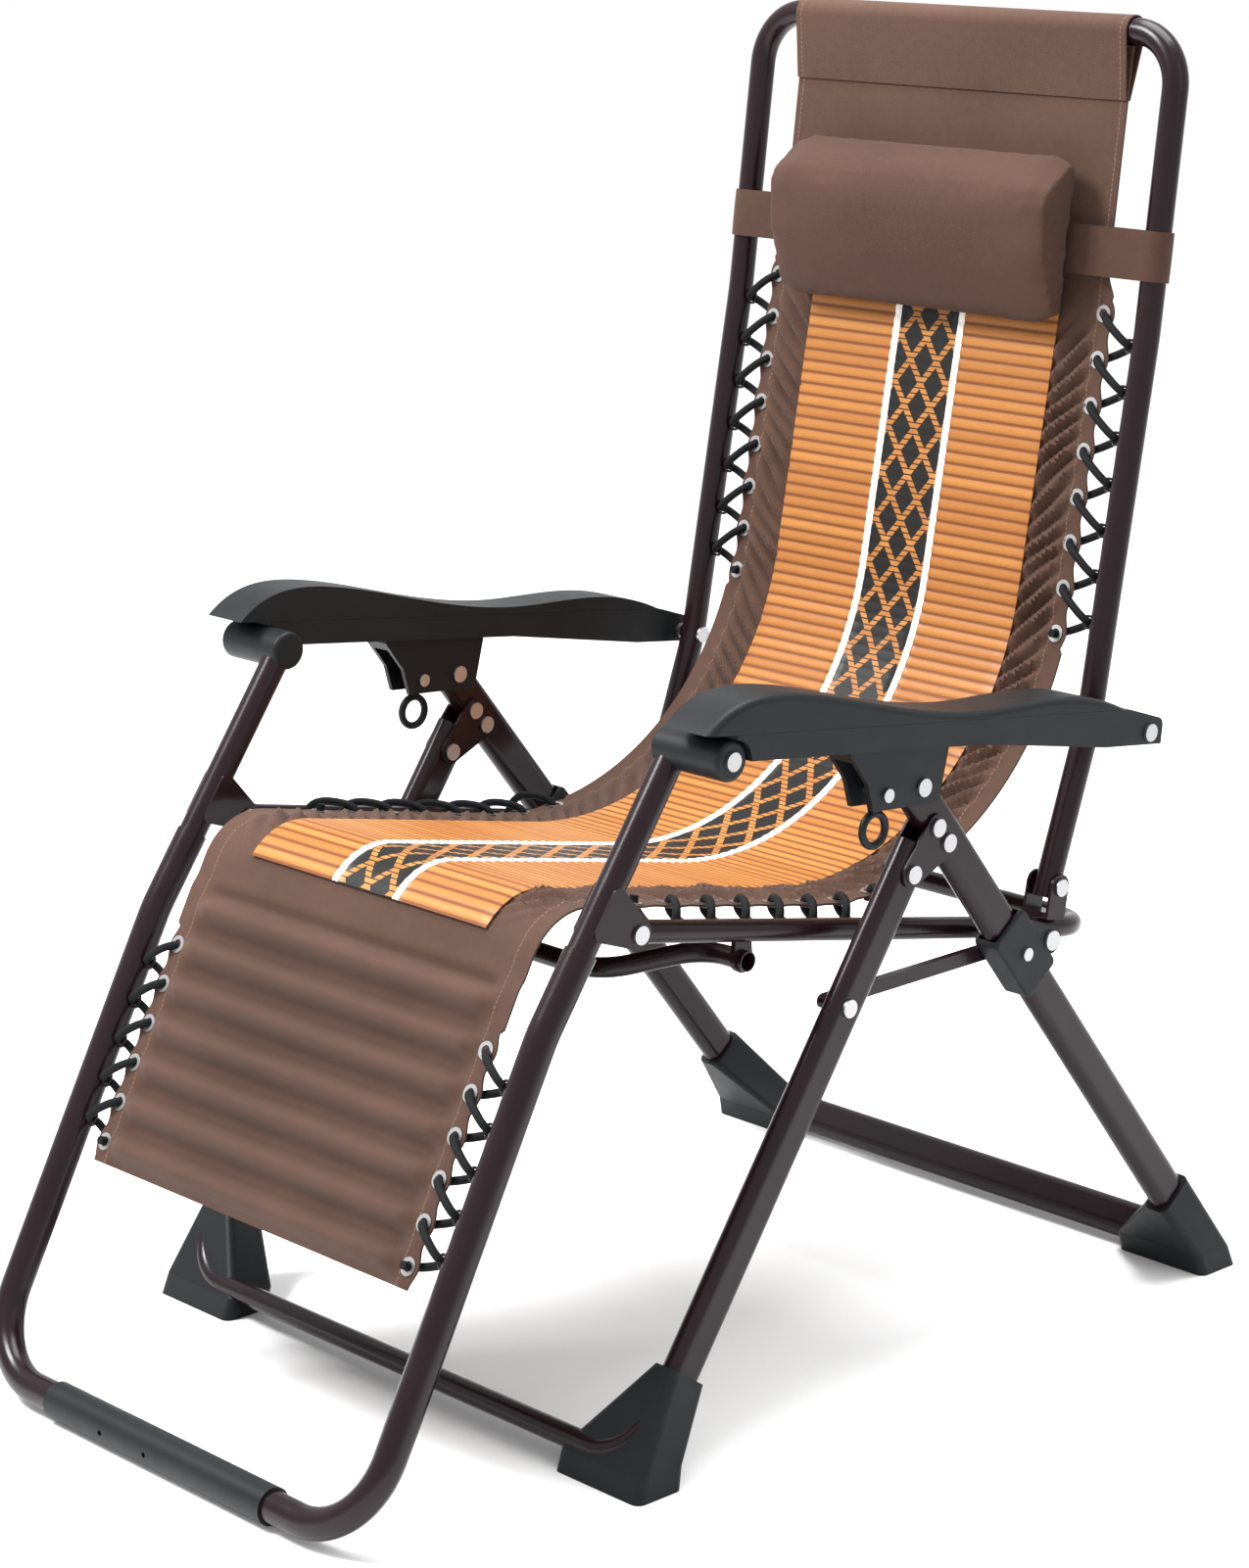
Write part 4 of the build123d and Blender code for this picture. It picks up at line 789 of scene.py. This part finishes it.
def headrest_pillow():
    """Pillow blown up from the plain wedge, with its cover's cloth."""
    solid = frame["nodes"]["headrest_pillow"]
    piece = bpy.data.objects.new("headrest_cushion", solid.data.copy())
    bpy.context.collection.objects.link(piece)
    merged(piece, gap=0.00005)
    low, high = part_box("headrest_pillow")
    middle = (Vector(low) + Vector(high)) / 2
    for vertex in piece.data.vertices:
        vertex.co = middle + (vertex.co - middle) * PILLOW_INSIDE
    apply_modifier(piece, "REMESH", "even", mode="VOXEL", voxel_size=PILLOW_GRID * MM)
    # Draws in the bulge of the plain solid, so that the long edges run straight to boxy ends
    core = shifted(along(NECK, HEAD_LEAN, PILLOW_MID[1]), HEAD_LEAN, PILLOW_MID[0])
    for vertex in piece.data.vertices:
        x = abs(vertex.co.x) / MM
        bulge = PILLOW_BULGE - PILLOW_BULGE_FALL * x * x
        share = (PILLOW_FULL - PILLOW_TAPER * soft_step(*PILLOW_TAPERS, x)) / bulge
        vertex.co.y = core[0] * MM + (vertex.co.y - core[0] * MM) * share
        vertex.co.z = core[1] * MM + (vertex.co.z - core[1] * MM) * share
    rest = [v.co.copy() for v in piece.data.vertices]
    blown = piece.modifiers.new("fill", "CLOTH")
    blown.settings.use_pressure = True
    blown.settings.uniform_pressure_force = PILLOW_PRESSURE
    blown.settings.effector_weights.gravity = 0.0
    for step in range(1, PILLOW_FRAMES + 1):
        bpy.context.scene.frame_set(step)
    shape = piece.evaluated_get(bpy.context.evaluated_depsgraph_get()).data
    moved = [v.co.copy() for v in shape.vertices]
    piece.modifiers.remove(blown)
    bpy.context.scene.frame_set(1)
    for vertex, was, now in zip(piece.data.vertices, rest, moved):
        shift = now - was
        if shift.length > PILLOW_RISE:
            shift *= PILLOW_RISE / shift.length
        vertex.co = was + shift
    apply_modifier(piece, "SMOOTH", "soft", factor=0.5, iterations=1)
    apply_modifier(piece, "SUBSURF", "fine", levels=1, render_levels=1)
    bpy.ops.object.shade_smooth()
    mesh = piece.data
    layer = mesh.uv_layers.new(name="UVMap") if not mesh.uv_layers else mesh.uv_layers[0]
    layer.name = "UVMap"
    for loop, uv in zip(mesh.loops, layer.data):
        spot = mesh.vertices[loop.vertex_index].co
        uv.uv = (spot.x, spot.z - PILLOW_UV_LEAN * spot.y)
    mesh.materials.clear()
    mesh.materials.append(PILLOW_WEAVE)
    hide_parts("headrest_pillow")
    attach(piece, "headrest")


headrest_pillow()


def headrest_strap():
    """Webbing belt round both back tubes, bowed a little across its width."""
    ring = BACK_TUBE / 2 + WRAP_OFF
    flat = 2 * FRAME_HALF
    arc = pi * ring
    total = 2 * flat + 2 * arc

    def place(across, down):
        gone = down * total
        if gone < flat:
            x, n = FRAME_HALF - gone, ring
        elif gone < flat + arc:
            angle = (gone - flat) / ring
            x, n = -FRAME_HALF - ring * sin(angle), ring * cos(angle)
        elif gone < 2 * flat + arc:
            x, n = -FRAME_HALF + (gone - flat - arc), -ring
        else:
            angle = (gone - 2 * flat - arc) / ring
            x, n = FRAME_HALF + ring * sin(angle), -ring * cos(angle)
        bow = BELT_BOW * (1 - (2 * across - 1) ** 2)
        level = along(NECK, HEAD_LEAN, BELT_LOW + BELT_WIDE * across)
        spot = shifted(level, HEAD_LEAN, n * (1 + bow / ring))
        return Vector((x, *spot)) * MM, (gone * MM, across * BELT_WIDE * MM)

    piece = cloth_grid("headrest_belt", columns=10, rows=160, place=place)
    merged(piece, gap=0.00002)
    piece.data.materials.append(PILLOW_WEAVE)
    thickened(piece, WRAP_CLOTH)
    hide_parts("headrest_strap")
    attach(piece, "headrest")


headrest_strap()


# Floor, light and camera, in metres, watts and degrees
FLOOR_SIZE = 240.0
SKY_STRENGTH = 1.06
LIGHT_AIM = (0, 0, 0.5)
LENS = 89.07
SENSOR = 36.0
CAMERA_PLACE = (2.458, -2.306, 1.375)
CAMERA_DOWN = 14.43
CAMERA_TURN = 46.51

bpy.ops.object.select_all(action="DESELECT")
bpy.ops.mesh.primitive_plane_add(size=FLOOR_SIZE, location=(0, 0, 0))
floor = bpy.context.object
floor.name = "floor"
floor.data.materials.append(finish("floor_finish", (0.94, 0.94, 0.94), 0.9)[0])

world = bpy.data.worlds.new("studio") if not bpy.data.worlds else bpy.data.worlds[0]
bpy.context.scene.world = world
world.use_nodes = True
sky = world.node_tree.nodes["Background"]
sky.inputs["Color"].default_value = (1.0, 1.0, 1.0, 1.0)
sky.inputs["Strength"].default_value = SKY_STRENGTH


def softbox(name, place, size, power):
    """Large soft lamp aimed at the chair."""
    lamp = bpy.data.lights.new(name, "AREA")
    lamp.shape = "RECTANGLE"
    lamp.size, lamp.size_y = size
    lamp.energy = power
    piece = bpy.data.objects.new(name, lamp)
    bpy.context.collection.objects.link(piece)
    piece.location = place
    piece.rotation_euler = (Vector(LIGHT_AIM) - Vector(place)).to_track_quat("-Z", "Y").to_euler()


softbox("key_light", place=(-1.4, -2.0, 3.4), size=(1.2, 1.2), power=240.0)
softbox("side_light", place=(2.9, 0.4, 2.2), size=(1.4, 2.2), power=10.0)
softbox("top_light", place=(0.0, 0.6, 3.4), size=(2.0, 2.0), power=150.0)

view = bpy.data.cameras.new("camera")
view.lens = LENS
view.sensor_width = SENSOR
camera = bpy.data.objects.new("camera", view)
bpy.context.collection.objects.link(camera)
camera.location = CAMERA_PLACE
camera.rotation_euler = (radians(90 - CAMERA_DOWN), 0.0, radians(CAMERA_TURN))
bpy.context.scene.camera = camera
bpy.context.scene.view_settings.view_transform = "Standard"
